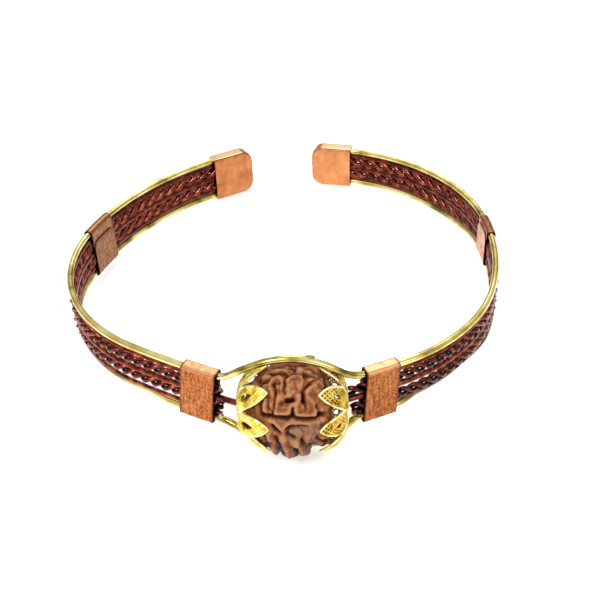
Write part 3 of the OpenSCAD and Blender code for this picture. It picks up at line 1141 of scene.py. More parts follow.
@dataclass(frozen=True)
class SheetClip:
    """A copper sheet wrapped round the band, whose two flaps lap on the wrist side."""

    name: str
    side: Side
    start: float
    finish: CopperSheet = CopperSheet()
    length: float = 5.4
    lean: float = 0.0
    sheet: float = 0.2
    fold: float = 0.32
    band_half: float = 0.74
    rail_heights: Pair = (3.8, 3.5)
    rail_reach: float = 0.54
    flap_share: float = 0.3
    lap: float = 0.9
    lap_gap: float = 0.04
    corner_cut: float = 0.9
    cut_run: float = 1.0
    rim_width: float = 0.3
    worn_width: float = 0.5
    across: int = 28
    row_height: float = 0.22
    dent: float = 0.035
    round_off: float = 0.07

    def profile(self) -> list[Pair]:
        """The middle line of the folded sheet.

        Returns:
            Places outward from the band and up from it, from the first flap's edge to the second's.
        """
        x, y, _ = PLAN.station(self.side, self.start + self.length / 2)
        half_z = PLAN.height(self.rail_heights, self.side.value * x, y) + self.rail_reach
        fold = self.fold
        face = self.band_half + self.sheet / 2
        proud = face + self.sheet + self.lap_gap
        rise = half_z + self.sheet / 2 - fold
        low = rise - half_z * PLAN.pinched(self.side.value * x, y)
        corners = ((fold - face, rise), (face - fold, rise), (face - fold, -low), (fold - proud, -low))
        line = [(-face, half_z * self.flap_share)]
        for (u, z), turn in zip(corners, (180, 90, 0, -90)):
            for k in range(7):
                angle = math.radians(turn - k * 15)
                line.append((u + fold * math.cos(angle), z + fold * math.sin(angle)))
        line.append((-proud, half_z * self.flap_share + self.lap))
        return line

    def resampled(self) -> list[Point]:
        """The profile at even short steps, with the distance to the last flap's edge.

        Returns:
            Places outward, up, and along the sheet from that edge, in order.
        """
        corners = self.profile()
        line = [corners[0]]
        for a, b in zip(corners, corners[1:]):
            count = max(1, round(math.dist(a, b) / self.row_height))
            line += [tuple(p + (q - p) * k / count for p, q in zip(a, b)) for k in range(1, count + 1)]
        left, out = 0.0, []
        for i in range(len(line) - 1, -1, -1):
            out.append((*line[i], left))
            left += math.dist(line[i], line[i - 1]) if i else 0.0
        return out[::-1]

    def build(self) -> None:
        """Wraps a flat sheet round the band, dents it, and gives it its thickness and rounded rim."""
        line = self.resampled()
        sizes = {"x_subdivisions": self.across, "y_subdivisions": len(line) - 1, "size": 2}
        piece = started(f"{self.name}_sheet", bpy.ops.mesh.primitive_grid_add, **sizes)
        half, seed = self.length / 2, self.start * 3.1
        top = max(z for _, z, _ in line)

        def row(co: Vector) -> Point:
            """The profile's place for a place on the flat sheet."""
            return line[round((co.y + 1) / 2 * (len(line) - 1))]

        flat = [v.co.copy() for v in piece.data.vertices]
        # a darker colour within rim_width of the sheet's edges
        rim = [max(0.0, 1 - (1 - max(abs(co.x), abs(co.y))) * half / self.rim_width) for co in flat]
        # painted highlight along the top of the fold, where light falls
        high = [max(0.0, 1 - (top - row(co)[1]) / self.worn_width) for co in flat]
        store(piece, "rim", rim)
        store(piece, "worn", [up * (1 - share) for up, share in zip(high, rim)])

        def wrapped(co: Vector) -> Vector:
            """Place on the folded sheet of a place on the flat one.

            Args:
                co: the place on the flat sheet.

            Returns:
                The place on the laid cuff.
            """
            u, z, left = row(co)
            cut = self.corner_cut * max(0.0, 1 - left / self.cut_run)
            along = half + co.x * (half - cut)
            dent = self.dent * noise.noise(Vector((along * 1.1 + seed, z * 1.1, u * 1.4)))
            push = 1 + dent / max(0.3, math.hypot(u, z))
            s = self.start + along - self.lean * z / self.rail_heights[0]
            return PLAN.laid(*PLAN.on_arm(self.side, s, u * push), z * push)

        reshape(piece, wrapped)
        thickened(piece, self.sheet, 0.0, self.round_off)
        turned_out(piece)
        smooth(piece, 45)
        finished(piece, self.finish, self.name)


@dataclass(frozen=True)
class EndCap:
    """A copper cap folded over one open end, with rounded free corners and an open mouth."""

    side: Side
    finish: CopperSheet
    length: float = 7.7
    half_thick: float = 1.27
    half_high: float = 4.14
    corner_radius: float = 2.1
    fold_radius: float = 0.4
    sheet: float = 0.24
    dent: float = 0.05
    set_back: float = 0.0
    low_share: float = 1.0
    round_off: float = 0.06
    # painted shade: a dark line along the cap's folds
    fold_dark: float = 0.85
    fold_dark_half: float = 32.0
    top_and_bottom_highlight: float = 0.8

    def build(self) -> None:
        """Shapes the cap from a box: rounds the free corners, then the folds, then hollows it."""
        name, half = self.side.word, self.length / 2
        size = (half, self.half_thick, self.half_high)
        piece = started(f"{name}_copper_cap", bpy.ops.mesh.primitive_cube_add, size=2, scale=size)
        self.round_free_corners(piece)
        fold = {"width": self.fold_radius, "segments": 5}
        modified(piece, "BEVEL", limit_method="ANGLE", angle_limit=math.radians(50), **fold)
        self.open_mouth(piece)
        # painted shade along the upper and lower folds
        store(piece, "rim", [self.fold_line(v.co) for v in piece.data.vertices])
        # painted highlight on the cap's flat top and bottom faces
        edge = self.half_high - 0.02
        worn = [self.top_and_bottom_highlight if abs(v.co.z) > edge else 0.0 for v in piece.data.vertices]
        store(piece, "worn", worn)
        in_cap = PLAN.arm_end(self.side) - (PLAN.cap_length - PLAN.wire_in_cap / 2)
        x, y, heading = PLAN.station(self.side, in_cap)
        turn = math.radians(heading)
        middle = (self.length - PLAN.wire_in_cap) / 2 - self.set_back

        def placed(co: Vector) -> Vector:
            """Place on the laid cuff of a place on the cap's own box.

            Args:
                co: the place on the box.

            Returns:
                The place in metres.
            """
            dent = 1 + self.dent * noise.noise(co * 0.45 + Vector((9.0 * self.side.value, 0, 0)))
            along, out, z = co.x + middle, co.y * dent, co.z * (self.low_share if co.z < 0 else 1.0)
            plan_x = x + along * math.cos(turn) - out * math.sin(turn)
            plan_y = y + along * math.sin(turn) + out * math.cos(turn)
            return PLAN.laid(self.side.value * plan_x, plan_y, z)

        reshape(piece, placed)
        turned_out(piece)
        thickened(piece, self.sheet, -1.0, self.round_off)
        smooth(piece, 50)
        finished(piece, self.finish, f"{name}_end_cap")

    def fold_line(self, co: Vector) -> float:
        """How much a place of the cap's own box lies on the painted shade line along its upper or lower fold.

        Args:
            co: the place, in millimetres.

        Returns:
            A share from 0 to 1.
        """
        across = abs(co.y) - self.half_thick + self.fold_radius
        up = abs(co.z) - self.half_high + self.fold_radius
        if across <= 0 or up <= 0:
            return 0.0
        away = abs(math.degrees(math.atan2(up, across)) - 45)
        return self.fold_dark * max(0.0, 1 - away / self.fold_dark_half)

    def round_free_corners(self, piece: Piece) -> None:
        """Rounds the two corners of the free end: the edges there that run across the sheet.

        Args:
            piece: the cap, still a box.
        """
        corners = piece.data.vertices

        def at_corner(edge: bpy.types.MeshEdge) -> bool:
            """Whether an edge is one of the two."""
            a, b = (corners[v].co for v in edge.vertices)
            return a.x > 0 and b.x > 0 and abs(a.z - b.z) < 1e-6

        sizes = {"offset": self.corner_radius, "offset_type": "OFFSET", "segments": 10, "affect": "EDGES"}
        edited(piece, MeshPart.EDGES, at_corner, bpy.ops.mesh.bevel, **sizes)

    def open_mouth(self, piece: Piece) -> None:
        """Deletes the faces over the mouth, where the wires go in, and cuts the walls finer.

        Args:
            piece: the cap, still a closed box.
        """
        mouth = -self.length / 2 + self.fold_radius * 1.01

        def over_mouth(face: bpy.types.MeshPolygon) -> bool:
            """Whether a face is one of these."""
            return face.center.x < mouth and face.normal.x < -0.05

        edited(piece, MeshPart.FACES, over_mouth, bpy.ops.mesh.delete, type="FACE")
        modified(piece, "SUBSURF", subdivision_type="SIMPLE", levels=2, render_levels=2)


# The bead and its caps


@dataclass(frozen=True)
class Stroke:
    """A carved line on the bead: its points, its half width, and its height (below 0 for a groove).

    A point is a distance along the wire in millimetres and an angle round it in degrees, up from
    the front.
    """

    points: tuple[Pair, ...]
    width: float
    height: float


GROOVES = (
    Stroke(
        ((4.1, 31), (3.4, 30), (2.7, 28), (1.9, 28), (0.7, 29), (-0.2, 32), (-0.9, 30), (-1.6, 31),
         (-2.4, 32), (-3.1, 32), (-3.7, 32), (-4.5, 34)), 0.28, -0.85),
    Stroke(((-2.9, 18), (-2.5, 14), (-2.0, 12)), 0.3, -0.85),
    Stroke(((-0.3, 20), (0.5, 20), (1.2, 20), (1.8, 19)), 0.16, -0.4),
    Stroke(((-1.0, 16), (-0.7, 18), (-0.3, 20)), 0.26, -0.8),
    Stroke(((-0.9, 10), (-0.3, 7), (-0.2, 6)), 0.3, -1.0),
    Stroke(((-0.1, 40), (-0.1, 35), (-0.2, 32)), 0.22, -0.6),
    Stroke(((-0.8, 50), (-0.1, 50)), 0.26, -0.9),
    Stroke(((-0.8, 50), (-1.2, 48), (-1.7, 46)), 0.3, -0.35),
    Stroke(((1.4, 57), (1.4, 52), (1.4, 48)), 0.2, -0.9),
    Stroke(((1.4, 48), (1.6, 45), (1.7, 40)), 0.2, -0.35),
    Stroke(((-2.5, 72), (-2.3, 62), (-2.3, 56), (-2.5, 46), (-2.7, 40), (-2.8, 34)), 0.22, -0.5),
    Stroke(((-1.1, 74), (-1.0, 67), (-1.3, 62), (-1.0, 57)), 0.2, -0.35),
    Stroke(((-2.0, 71), (-1.6, 72)), 0.16, -0.3),
    Stroke(((1.4, 60), (2.0, 66), (2.5, 72), (2.9, 76)), 0.2, -0.45),
    Stroke(((-3.2, 90), (-2.2, 87), (-1.7, 87), (-0.9, 84), (-0.7, 80)), 0.25, -0.5),
    Stroke(((-0.4, 78), (0.0, 82), (0.6, 82), (1.4, 80), (1.6, 76)), 0.22, -0.45),
    Stroke(((1.7, 83), (2.4, 82), (3.3, 81), (4.0, 78), (4.6, 74)), 0.35, -0.7),
    Stroke(((-0.1, 94), (0.4, 89)), 0.25, -0.6),
    Stroke(((-4.3, 80), (-3.6, 79), (-3.0, 80)), 0.3, -0.8),
    Stroke(((-5.4, 62), (-4.9, 70), (-4.6, 80), (-4.4, 92)), 0.55, -0.8),
    Stroke(((4.6, 62), (4.9, 70), (4.9, 82), (4.4, 94)), 0.5, -0.9),
    Stroke(((-2.6, 100), (-1.6, 97), (-0.6, 100), (0.6, 98), (1.8, 100)), 0.25, -0.5),
    Stroke(((2.4, 92), (3.2, 92), (3.9, 88)), 0.28, -0.5),
    Stroke(((-4.0, 57), (-4.5, 46), (-4.5, 37)), 0.35, -0.6),
    Stroke(((-3.4, 56), (-3.3, 47), (-3.4, 36)), 0.2, -0.3),
    Stroke(((3.1, 42), (3.4, 37), (3.6, 32)), 0.25, -0.5),
    Stroke(((0.9, 2), (1.0, -3), (1.2, -8)), 0.25, -0.6),
    Stroke(((-2.6, 3), (-2.5, -2), (-2.2, -8), (-1.9, -30), (-1.9, -80)), 0.36, -0.9),
    Stroke(((0.1, -16), (0.2, -30), (0.2, -80)), 0.36, -0.9),
    Stroke(((2.4, -15), (2.8, -34), (2.8, -80)), 0.65, -1.0),
    Stroke(((-4.1, 2), (-3.9, -10), (-3.5, -30), (-3.4, -70)), 0.35, -0.6),
    Stroke(((3.0, 0), (3.4, -8), (3.9, -14), (4.4, -21)), 0.25, -0.6),
)
RIDGES = (
    Stroke(((-2.4, 35), (-2.5, 41), (-2.3, 48), (-1.9, 54), (-1.3, 56), (-0.5, 54)), 0.45, 0.3),
    Stroke(((-2.4, 35), (-1.6, 34), (-0.8, 35), (-0.5, 39), (-0.3, 44), (0.2, 46)), 0.3, 0.35),
    Stroke(((0.3, 39), (0.4, 34), (1.2, 31), (2.1, 30), (2.8, 31)), 0.35, 0.35),
    Stroke(((0.3, 39), (0.5, 44), (0.7, 48), (0.8, 55)), 0.3, 0.3),
    Stroke(((2.8, 31), (3.0, 38), (2.8, 44), (2.3, 50), (2.0, 53)), 0.3, 0.25),
    Stroke(((-3.0, 66), (-2.9, 74), (-2.5, 80), (-1.9, 80), (-1.3, 76), (-1.4, 70), (-1.5, 64)), 0.25, 0.35),
    Stroke(((-0.6, 73), (-0.2, 78), (0.5, 80), (1.1, 79), (1.4, 74), (1.2, 68)), 0.28, 0.35),
    Stroke(((-0.5, 64), (0.3, 68), (0.8, 63), (0.3, 58)), 0.5, 0.2),
    Stroke(((1.6, 58), (2.1, 63), (2.8, 68), (3.4, 74)), 0.28, 0.3),
    Stroke(((2.4, 74), (2.9, 78), (3.6, 78), (4.2, 72)), 0.28, 0.25),
    Stroke(((-2.8, 92), (-2.2, 91), (-1.5, 90), (-0.9, 88)), 0.28, 0.3),
    Stroke(((0.8, 89), (1.4, 88), (2.2, 86)), 0.3, 0.3),
    Stroke(((-4.4, 87), (-3.7, 87), (-3.2, 85)), 0.28, 0.3),
    Stroke(((-3.9, 40), (-3.8, 46), (-3.5, 52)), 0.35, 0.3),
    Stroke(((-3.1, 28), (-2.5, 24), (-1.7, 15), (-1.1, 20), (-0.4, 25)), 0.32, 0.3),
    Stroke(((-0.4, 25), (0.5, 25), (1.3, 23), (2.1, 22), (3.0, 23), (3.8, 24)), 0.35, 0.22),
    Stroke(((-3.6, 4), (-3.4, -4)), 0.35, 0.3),
    Stroke(((-1.6, 6), (-1.6, 0), (-1.4, -8), (-0.8, -30), (-0.8, -70)), 0.45, 0.35),
    Stroke(((0.1, 0), (0.3, -8), (1.0, -24), (1.0, -70)), 0.42, 0.35),
    Stroke(((-2.9, -18), (-2.5, -60)), 0.3, 0.3),
    Stroke(((3.5, -4), (4.2, -8)), 0.3, 0.25),
    Stroke(((3.5, 37), (4.3, 34)), 0.28, 0.25),
)
DUST = (Stroke(((0.2, 14), (1.4, 12), (2.6, 10)), 1.3, 1.0),)


@dataclass(frozen=True)
class OwnRelief:
    """The relief that the seed grows by itself, from seeded noise and three long furrows.

    A scale turns millimetres to the noise's own length, and a start is where in the noise the
    pattern is taken. Lobe angles are in degrees round the wire, up from the front.
    """

    noise_seed: int = 6
    ridge_scale: Point = (0.62, 0.3, 0.3)
    ridge_start: Point = (3.1, 0.7, 5.2)
    ridge_steepness: float = 3.0
    furrow_depth: float = 0.84
    warp_scale: float = 0.45
    warp: float = 0.55
    crease_scale: float = 0.75
    crease_start: Point = (7.7, 1.3, 2.9)
    crease_steepness: float = 5.0
    crease_depth: float = 0.07
    hump_scale: float = 1.1
    hump_height: float = 0.1
    lobe_angles: Point = (118, 208, 298)
    lobe_depth: float = 0.5
    lobe_width: float = 0.45
    lobe_sway: float = 0.1
    lobe_sway_rate: float = 1.3

    def ridges(self, surface: np.ndarray) -> np.ndarray:
        """Winding ridges between furrows.

        Args:
            surface: places on the bead's envelope, one row each.

        Returns:
            The height at each place.
        """
        noise.seed_set(self.noise_seed)
        start = Vector(self.ridge_start)
        height = np.empty(len(surface))
        for i, co in enumerate(surface):
            place = Vector([part * scale for part, scale in zip(co, self.ridge_scale)])
            warp = noise.noise_vector(Vector(co) * self.warp_scale) * self.warp
            near = noise.voronoi(place + warp + start)[0]
            ridge = min(1.0, (near[1] - near[0]) * self.ridge_steepness)
            height[i] = -self.furrow_depth * (1 - ridge)
        return height

    def wrinkles(self, surface: np.ndarray) -> np.ndarray:
        """Fine relief all over: narrow creases, small humps and a woody grain.

        Args:
            surface: places on the bead's envelope, one row each.

        Returns:
            The height at each place.
        """
        start = Vector(self.crease_start)
        height = np.empty(len(surface))
        for i, co in enumerate(surface):
            place = Vector(co)
            line = abs(noise.noise(place * self.crease_scale + start)) * self.crease_steepness
            hump = noise.fractal(place * self.hump_scale, 0.8, 2.1, 5)
            height[i] = self.hump_height * hump - self.crease_depth * (1 - min(1.0, line))
        return height

    def lobes(self, surface: np.ndarray, angle: np.ndarray, radius: float) -> np.ndarray:
        """The long furrows between the seed's lobes.

        Args:
            surface: places on the bead's envelope, one row each.
            angle: their angles round the wire, in radians.
            radius: the bead's radius.

        Returns:
            The height at each place.
        """
        depth = np.zeros(len(surface))
        for middle in self.lobe_angles:
            sway = self.lobe_sway * np.sin(surface[:, 0] * self.lobe_sway_rate)
            away = (angle - math.radians(middle) + sway + math.pi) % (2 * math.pi) - math.pi
            depth -= self.lobe_depth * np.exp(-((away * radius / self.lobe_width) ** 2))
        return depth


@dataclass(frozen=True)
class RudrakshaBead:
    """The drilled seed: a squat globe with winding ridges, carved furrows and small pits.

    Angles are in degrees round the wire, up from the front. The strokes carve what the photo shows,
    and the seed's own relief covers the rest. The relief is held low under the bead caps, which
    start at under_caps along the wire, and its colour darkens below low_angle.
    """

    radius: float = 6.8
    half_length: float = 7.0
    left_end: float = 6.85
    right_end: float = 5.2
    power: float = 2.05
    end_edge: float = 12.0
    forward: float = 0.5
    bore: float = 0.9
    own: OwnRelief = OwnRelief()
    seen_angle: float = 40.0
    seen_half: float = 66.0
    seen_fade: float = 20.0
    front_loss: float = 0.75
    groove_sharpness: float = 1.5
    ridge_sharpness: float = 2.0
    deepest: float = -1.3
    highest: float = 0.4
    sunk: float = 0.06
    free_limit: float = 0.34
    under_caps: float = 2.6
    under_caps_fade: float = 0.8
    cap_press: float = 0.3
    # the stored colour height: the relief's height, painted highlight on proud crests and painted shade in
    # furrows, and painted shade on the underside below low_angle
    middle_shade: float = 0.62
    height_shade: float = 0.26
    proud_shade: float = 1.3
    low_shade: float = 0.36
    low_angle: float = 5.0
    low_fade: float = 30.0
    dust_share: float = 0.5
    blur_rounds: int = 24
    segments: int = 340
    rings: int = 210
    finish: RudrakshaSeed = RudrakshaSeed()

    def envelope(self, along: np.ndarray, across: np.ndarray) -> np.ndarray:
        """Distance from the bead's middle to its envelope in a direction's two parts.

        Args:
            along: the direction's part along the wire.
            across: its part across the wire.

        Returns:
            The distance for each direction.
        """
        a = (np.abs(along) / self.half_length) ** self.power
        b = (across / self.radius) ** self.power
        end = np.abs(along) / np.where(along < 0, self.left_end, self.right_end)
        return ((a + b) ** (self.end_edge / self.power) + end**self.end_edge) ** (-1 / self.end_edge)

    def surface_point(self, x: float, angle: float) -> np.ndarray:
        """Place on the envelope at a distance along the wire and an angle round it.

        Args:
            x: the distance.
            angle: the angle in degrees, up from the front.

        Returns:
            The place, from the bead's middle.
        """
        rest = max(0.0, 1 - (abs(x) / self.half_length) ** self.power)
        across = self.radius * rest ** (1 / self.power)
        turn = math.radians(angle)
        return np.array([x, -across * math.cos(turn), across * math.sin(turn)])

    def carved(self, surface: np.ndarray, strokes: Sequence[Stroke]) -> np.ndarray:
        """Height that some strokes give at each place of the envelope.

        Args:
            surface: places on the envelope, one row each.
            strokes: the strokes.

        Returns:
            Their heights, added up, one for each place.
        """
        height = np.zeros(len(surface))
        for stroke in strokes:
            nearest = np.full(len(surface), np.inf)
            knots = [self.surface_point(*point) for point in stroke.points]
            for a, b in zip(knots, knots[1:]):
                span = b - a
                share = np.clip((surface - a) @ span / max(span @ span, 1e-9), 0, 1)
                nearest = np.minimum(nearest, np.linalg.norm(surface - a - share[:, None] * span, axis=1))
            sharpness = self.groove_sharpness if stroke.height < 0 else self.ridge_sharpness
            height += stroke.height * np.exp(-((nearest / stroke.width) ** sharpness))
        return height

    def relief(self, surface: np.ndarray, angle: np.ndarray) -> np.ndarray:
        """The whole relief, held low under the bead caps.

        Args:
            surface: places on the envelope, one row each.
            angle: their angles round the wire, in radians.

        Returns:
            The height at each place.
        """
        away = np.abs(np.degrees(angle) - self.seen_angle) - self.seen_half
        seen = np.clip(1 - away / self.seen_fade, 0, 1)
        ridges = self.own.ridges(surface) * (1 - self.front_loss * seen)
        lobes = self.own.lobes(surface, angle, self.radius) * (1 - seen)
        relief = ridges + lobes + self.own.wrinkles(surface)
        relief += self.carved(surface, GROOVES) + self.carved(surface, RIDGES)
        covered = np.clip((np.abs(surface[:, 0]) - self.under_caps) / self.under_caps_fade, 0, 1)
        limit = self.free_limit - self.cap_press * covered
        return np.minimum(np.clip(relief, self.deepest, self.highest) - self.sunk, limit)

    def blurred(self, piece: Piece, values: np.ndarray) -> np.ndarray:
        """Values evened out along the mesh's edges.

        Args:
            piece: the mesh object.
            values: one value for each vertex.

        Returns:
            The evened values.
        """
        ends = np.empty(len(piece.data.edges) * 2, dtype=np.int32)
        piece.data.edges.foreach_get("vertices", ends)
        first, second = ends.reshape(-1, 2).T
        count = len(values)
        degree = np.bincount(first, minlength=count) + np.bincount(second, minlength=count)
        for _ in range(self.blur_rounds):
            total = np.bincount(first, values[second], count) + np.bincount(second, values[first], count)
            values = total / degree
        return values

    def build(self) -> None:
        """Carves the seed from a finely cut sphere, drills it and stores its height for the finish."""
        cut = {"segments": self.segments, "ring_count": self.rings, "radius": 1}
        lying = (0, math.pi / 2, 0)
        piece = started("rudraksha_seed", bpy.ops.mesh.primitive_uv_sphere_add, rotation=lying, **cut)
        flat = np.empty(len(piece.data.vertices) * 3)
        piece.data.vertices.foreach_get("co", flat)
        way = flat.reshape(-1, 3)
        way /= np.linalg.norm(way, axis=1)[:, None]
        across = np.hypot(way[:, 1], way[:, 2])
        reach = self.envelope(way[:, 0], across)
        surface = way * reach[:, None]
        angle = np.arctan2(surface[:, 2], -surface[:, 1])
        relief = self.relief(surface, angle)
        placed = way * (reach + relief * np.minimum(1, across * 2))[:, None]
        tilt = math.radians(PLAN.rest_tilt)
        centre = np.array(PLAN.laid(0, -PLAN.bead_setback - self.forward, 0))
        sin, cos = math.sin(tilt), math.cos(tilt)
        turn = np.array([[1, 0, 0], [0, cos, sin], [0, -sin, cos]])
        piece.data.vertices.foreach_set("co", (placed @ turn.T * MM + centre).ravel())
        # painted highlight on proud crests and painted shade in furrows; painted shade on the underside
        proud = relief - self.blurred(piece, relief)
        low = np.clip((self.low_angle - np.degrees(angle)) / self.low_fade, 0, 1)
        shade = self.middle_shade + self.height_shade * relief + self.proud_shade * proud
        store(piece, "relief", np.clip(shade - self.low_shade * low, 0, 1))
        store(piece, "dust", np.clip(self.carved(surface, DUST), 0, 1) * self.dust_share)
        piece.data.update()
        self.drill(piece)
        smooth(piece, 75)
        finished(piece, self.finish, "rudraksha_bead")

    def drill(self, piece: Piece) -> None:
        """Drills the hole for the centre wire.

        Args:
            piece: the seed.
        """
        bpy.ops.object.select_all(action="DESELECT")
        middle, lying = PLAN.laid(0, -PLAN.bead_setback, 0), (0, math.pi / 2, 0)
        sizes = {"vertices": 32, "radius": self.bore * MM, "depth": 20 * MM}
        bpy.ops.mesh.primitive_cylinder_add(location=middle, rotation=lying, **sizes)
        drill = bpy.context.view_layer.objects.active
        modified(piece, "BOOLEAN", operation="DIFFERENCE", object=drill, solver="EXACT")
        bpy.data.objects.remove(drill)


class PetalLine:
    """A petal's long profile: a superellipse, from the cap's flat middle to the petal's point."""

    def __init__(self, reach: float, radius: float, power: float) -> None:
        """Cuts the profile into short steps.

        Args:
            reach: how far along the wire the cap's middle is from the bead's.
            radius: how far from the wire the petal's point is.
            power: the superellipse's power, 2 for an ellipse.
        """
        turn = np.radians(np.linspace(0, 90, 241))
        self.r = radius * np.sin(turn) ** (2 / power)
        self.x = reach * np.cos(turn) ** (2 / power)
        self.run = np.concatenate(([0.0], np.cumsum(np.hypot(np.diff(self.r), np.diff(self.x)))))

    def radius_at(self, run: float) -> float:
        """Distance from the wire at a length along the profile."""
        return float(np.interp(run, self.run, self.r))

    def x_at(self, run: float) -> float:
        """Distance along the wire at a length along the profile."""
        return float(np.interp(run, self.run, self.x))

    def x_at_radius(self, radius: float) -> float:
        """Distance along the wire at a distance from it."""
        return float(np.interp(radius, self.r, self.x))

    def run_at_radius(self, radius: float) -> float:
        """Length along the profile at a distance from the wire."""
        return float(np.interp(radius, self.r, self.run))

    def run_at_x(self, x: float) -> float:
        """Length along the profile at a distance along the wire."""
        return float(np.interp(-x, -self.x, self.run))


@dataclass(frozen=True)
class FiligreeCap:
    """A gold flower of eight pierced petals, bent over one end of the bead.

    The proud and the snug petals are bent to a radius and a power. Distances named x are along the
    wire from the bead's middle.
    """

    side: Side
    first_petal: float
    reach: float
    snug_from: int
    lattice: float
    spacing: float
    forward: float = 0.5
    petals: int = 8
    proud: Pair = (6.3, 3.1)
    snug: Pair = (6.75, 2.0)
    tip_x: float = 3.35
    wide_x: float = 6.6
    half_width: float = 1.5
    petal_gap: float = 0.06
    hub: float = 2.4
    hub_wire: float = 0.2
    hole: float = 1.2
    hole_wire: float = 0.16
    wave_wire: float = 0.11
    waves: int = 18
    wave_swing: float = 0.5
    slit_tip_x: float = 5.35
    slit_root_x: float = 6.9
    slit_half: float = 0.55
    slit_foot_round: float = 6.0
    slit_tip_round: float = 12.0
    slit_tip_share: float = 0.3
    slit_widening: float = 1.5
    border: float = 0.17
    inner_border: float = 0.1
    sunk: float = -0.04
    slant: float = 50.0
    wires_each_way: int = 12
    wire_step: float = 0.1
    steps_each_way: int = 34
    edge_steps: int = 20
    tip_crowding: float = 1.4
    finish: GoldFiligree = GoldFiligree()
    # a paler gold for the petals' rims and the middle's rings
    rim_finish: GoldFiligree = GoldFiligree(
        "pale_gold_rims", dark="#D8B040", plain="#FFF0A0", bright="#FFFBE0"
    )

    def profile(self, petal: int) -> PetalLine:
        """The long profile of a petal: the last ones are bent in closer."""
        return PetalLine(self.reach, *(self.snug if petal >= self.snug_from else self.proud))

    def place(self, line: PetalLine, run: float, across: float, turn: float, lift: float = 0.0) -> Vector:
        """Place on the cap.

        Args:
            line: the petal's profile.
            run: length along the profile from the wire.
            across: distance across the petal's middle line.
            turn: angle round the wire of that line, in degrees.
            lift: distance off the cap.

        Returns:
            The place on the laid cuff, in metres.
        """
        r = line.radius_at(run) + lift
        angle = math.radians(turn) + across / max(0.4, r)
        y = -PLAN.bead_setback - self.forward - r * math.cos(angle)
        return PLAN.laid(self.side.value * line.x_at(run), y, r * math.sin(angle))

    def petal_edge(self, line: PetalLine, run: float) -> float:
        """Half width of a petal: a pointed arch, touching its neighbours at its foot.

        Args:
            line: the petal's profile.
            run: length along it.

        Returns:
            The half width, -1 or less beyond the petal's point.
        """
        x, half, rise = line.x_at(run), self.half_width, self.wide_x - self.tip_x
        r = (rise * rise + half * half) / (2 * half)
        arch = math.sqrt(max(0.0, r * r - max(0.0, self.wide_x - x) ** 2)) - r + half
        room = math.pi * line.radius_at(run) / self.petals - self.petal_gap
        return min(arch if x >= self.tip_x else -1.0, room)

    def slit_edge(self, line: PetalLine, run: float) -> float:
        """Half width of a petal's slit, which is open and wide at its foot.

        Args:
            line: the petal's profile.
            run: length along it.

        Returns:
            The half width, -1 beyond the slit's ends.
        """
        x = line.x_at(run)
        if x < self.slit_tip_x or x > self.slit_root_x:
            return -1.0
        share = (x - self.slit_tip_x) / (self.slit_root_x - self.slit_tip_x)
        widened = min(1.0, self.slit_tip_share + self.slit_widening * share)
        rounded = min(1.0, self.slit_tip_round * share, self.slit_foot_round * (1 - share))
        return self.slit_half * widened * math.sqrt(rounded)

    def outline(
        self, line: PetalLine, edge: Callable[[PetalLine, float], float], first_x: float, last_x: float
    ) -> list[Pair]:
        """A pointed outline as lengths along and across a petal, out one side and back.

        Args:
            line: the petal's profile.
            edge: half width at a length along the profile.
            first_x: where the outline starts.
            last_x: where its point is.

        Returns:
            The outline's places, in order.
        """
        first, last = line.run_at_x(first_x), line.run_at_x(last_x)
        shares = [1 - (1 - i / self.edge_steps) ** self.tip_crowding for i in range(self.edge_steps + 1)]
        steps = [between(share, first, last) for share in shares]
        upper = [(run, max(0.0, edge(line, run))) for run in steps]
        return upper + [(run, -across) for run, across in upper[-2::-1]]

    def lattice_runs(self, line: PetalLine) -> list[list[Pair]]:
        """Two crossing sets of slanting wires, clipped to a petal's field.

        Args:
            line: the petal's profile.

        Returns:
            Each wire's places, as lengths along and across the petal.
        """
        runs: list[list[Pair]] = []
        first, last = line.run_at_radius(self.hub), line.run_at_x(self.tip_x)
        middle = (first + last) / 2
        for turn in (math.radians(self.slant), math.radians(-self.slant)):
            for k in range(-self.wires_each_way, self.wires_each_way + 1):
                run: list[Pair] = []
                for i in range(-self.steps_each_way, self.steps_each_way + 1):
                    reach = i * self.wire_step
                    along = middle + k * self.spacing * math.cos(turn) - reach * math.sin(turn)
                    across = k * self.spacing * math.sin(turn) + reach * math.cos(turn)
                    held = first < along < last and self.slit_edge(line, along) < abs(across)
                    if held and abs(across) < self.petal_edge(line, along):
                        run.append((along, across))
                    elif run:
                        runs.append(run)
                        run = []
                runs.append(run)
        return [run for run in runs if len(run) > 1]

    def ring(self, radius: float, wire: float, waves: int = 0, swing: float = 0.0) -> WirePath:
        """A closed ring of wire on the cap's flat middle, plain or waved.

        Args:
            radius: the ring's middle radius.
            wire: the wire's own radius.
            waves: how many waves it has.
            swing: how far they go in and out.

        Returns:
            The ring's path.
        """
        line, count = self.profile(0), waves * 10 or 64
        places = []
        for turn in (360 * i / count for i in range(count)):
            r = radius + swing * math.sin(math.radians(waves * turn))
            places.append(self.place(line, line.run_at_radius(r), 0.0, turn))
        return WirePath(places, wire, WireEnd.CLOSED)

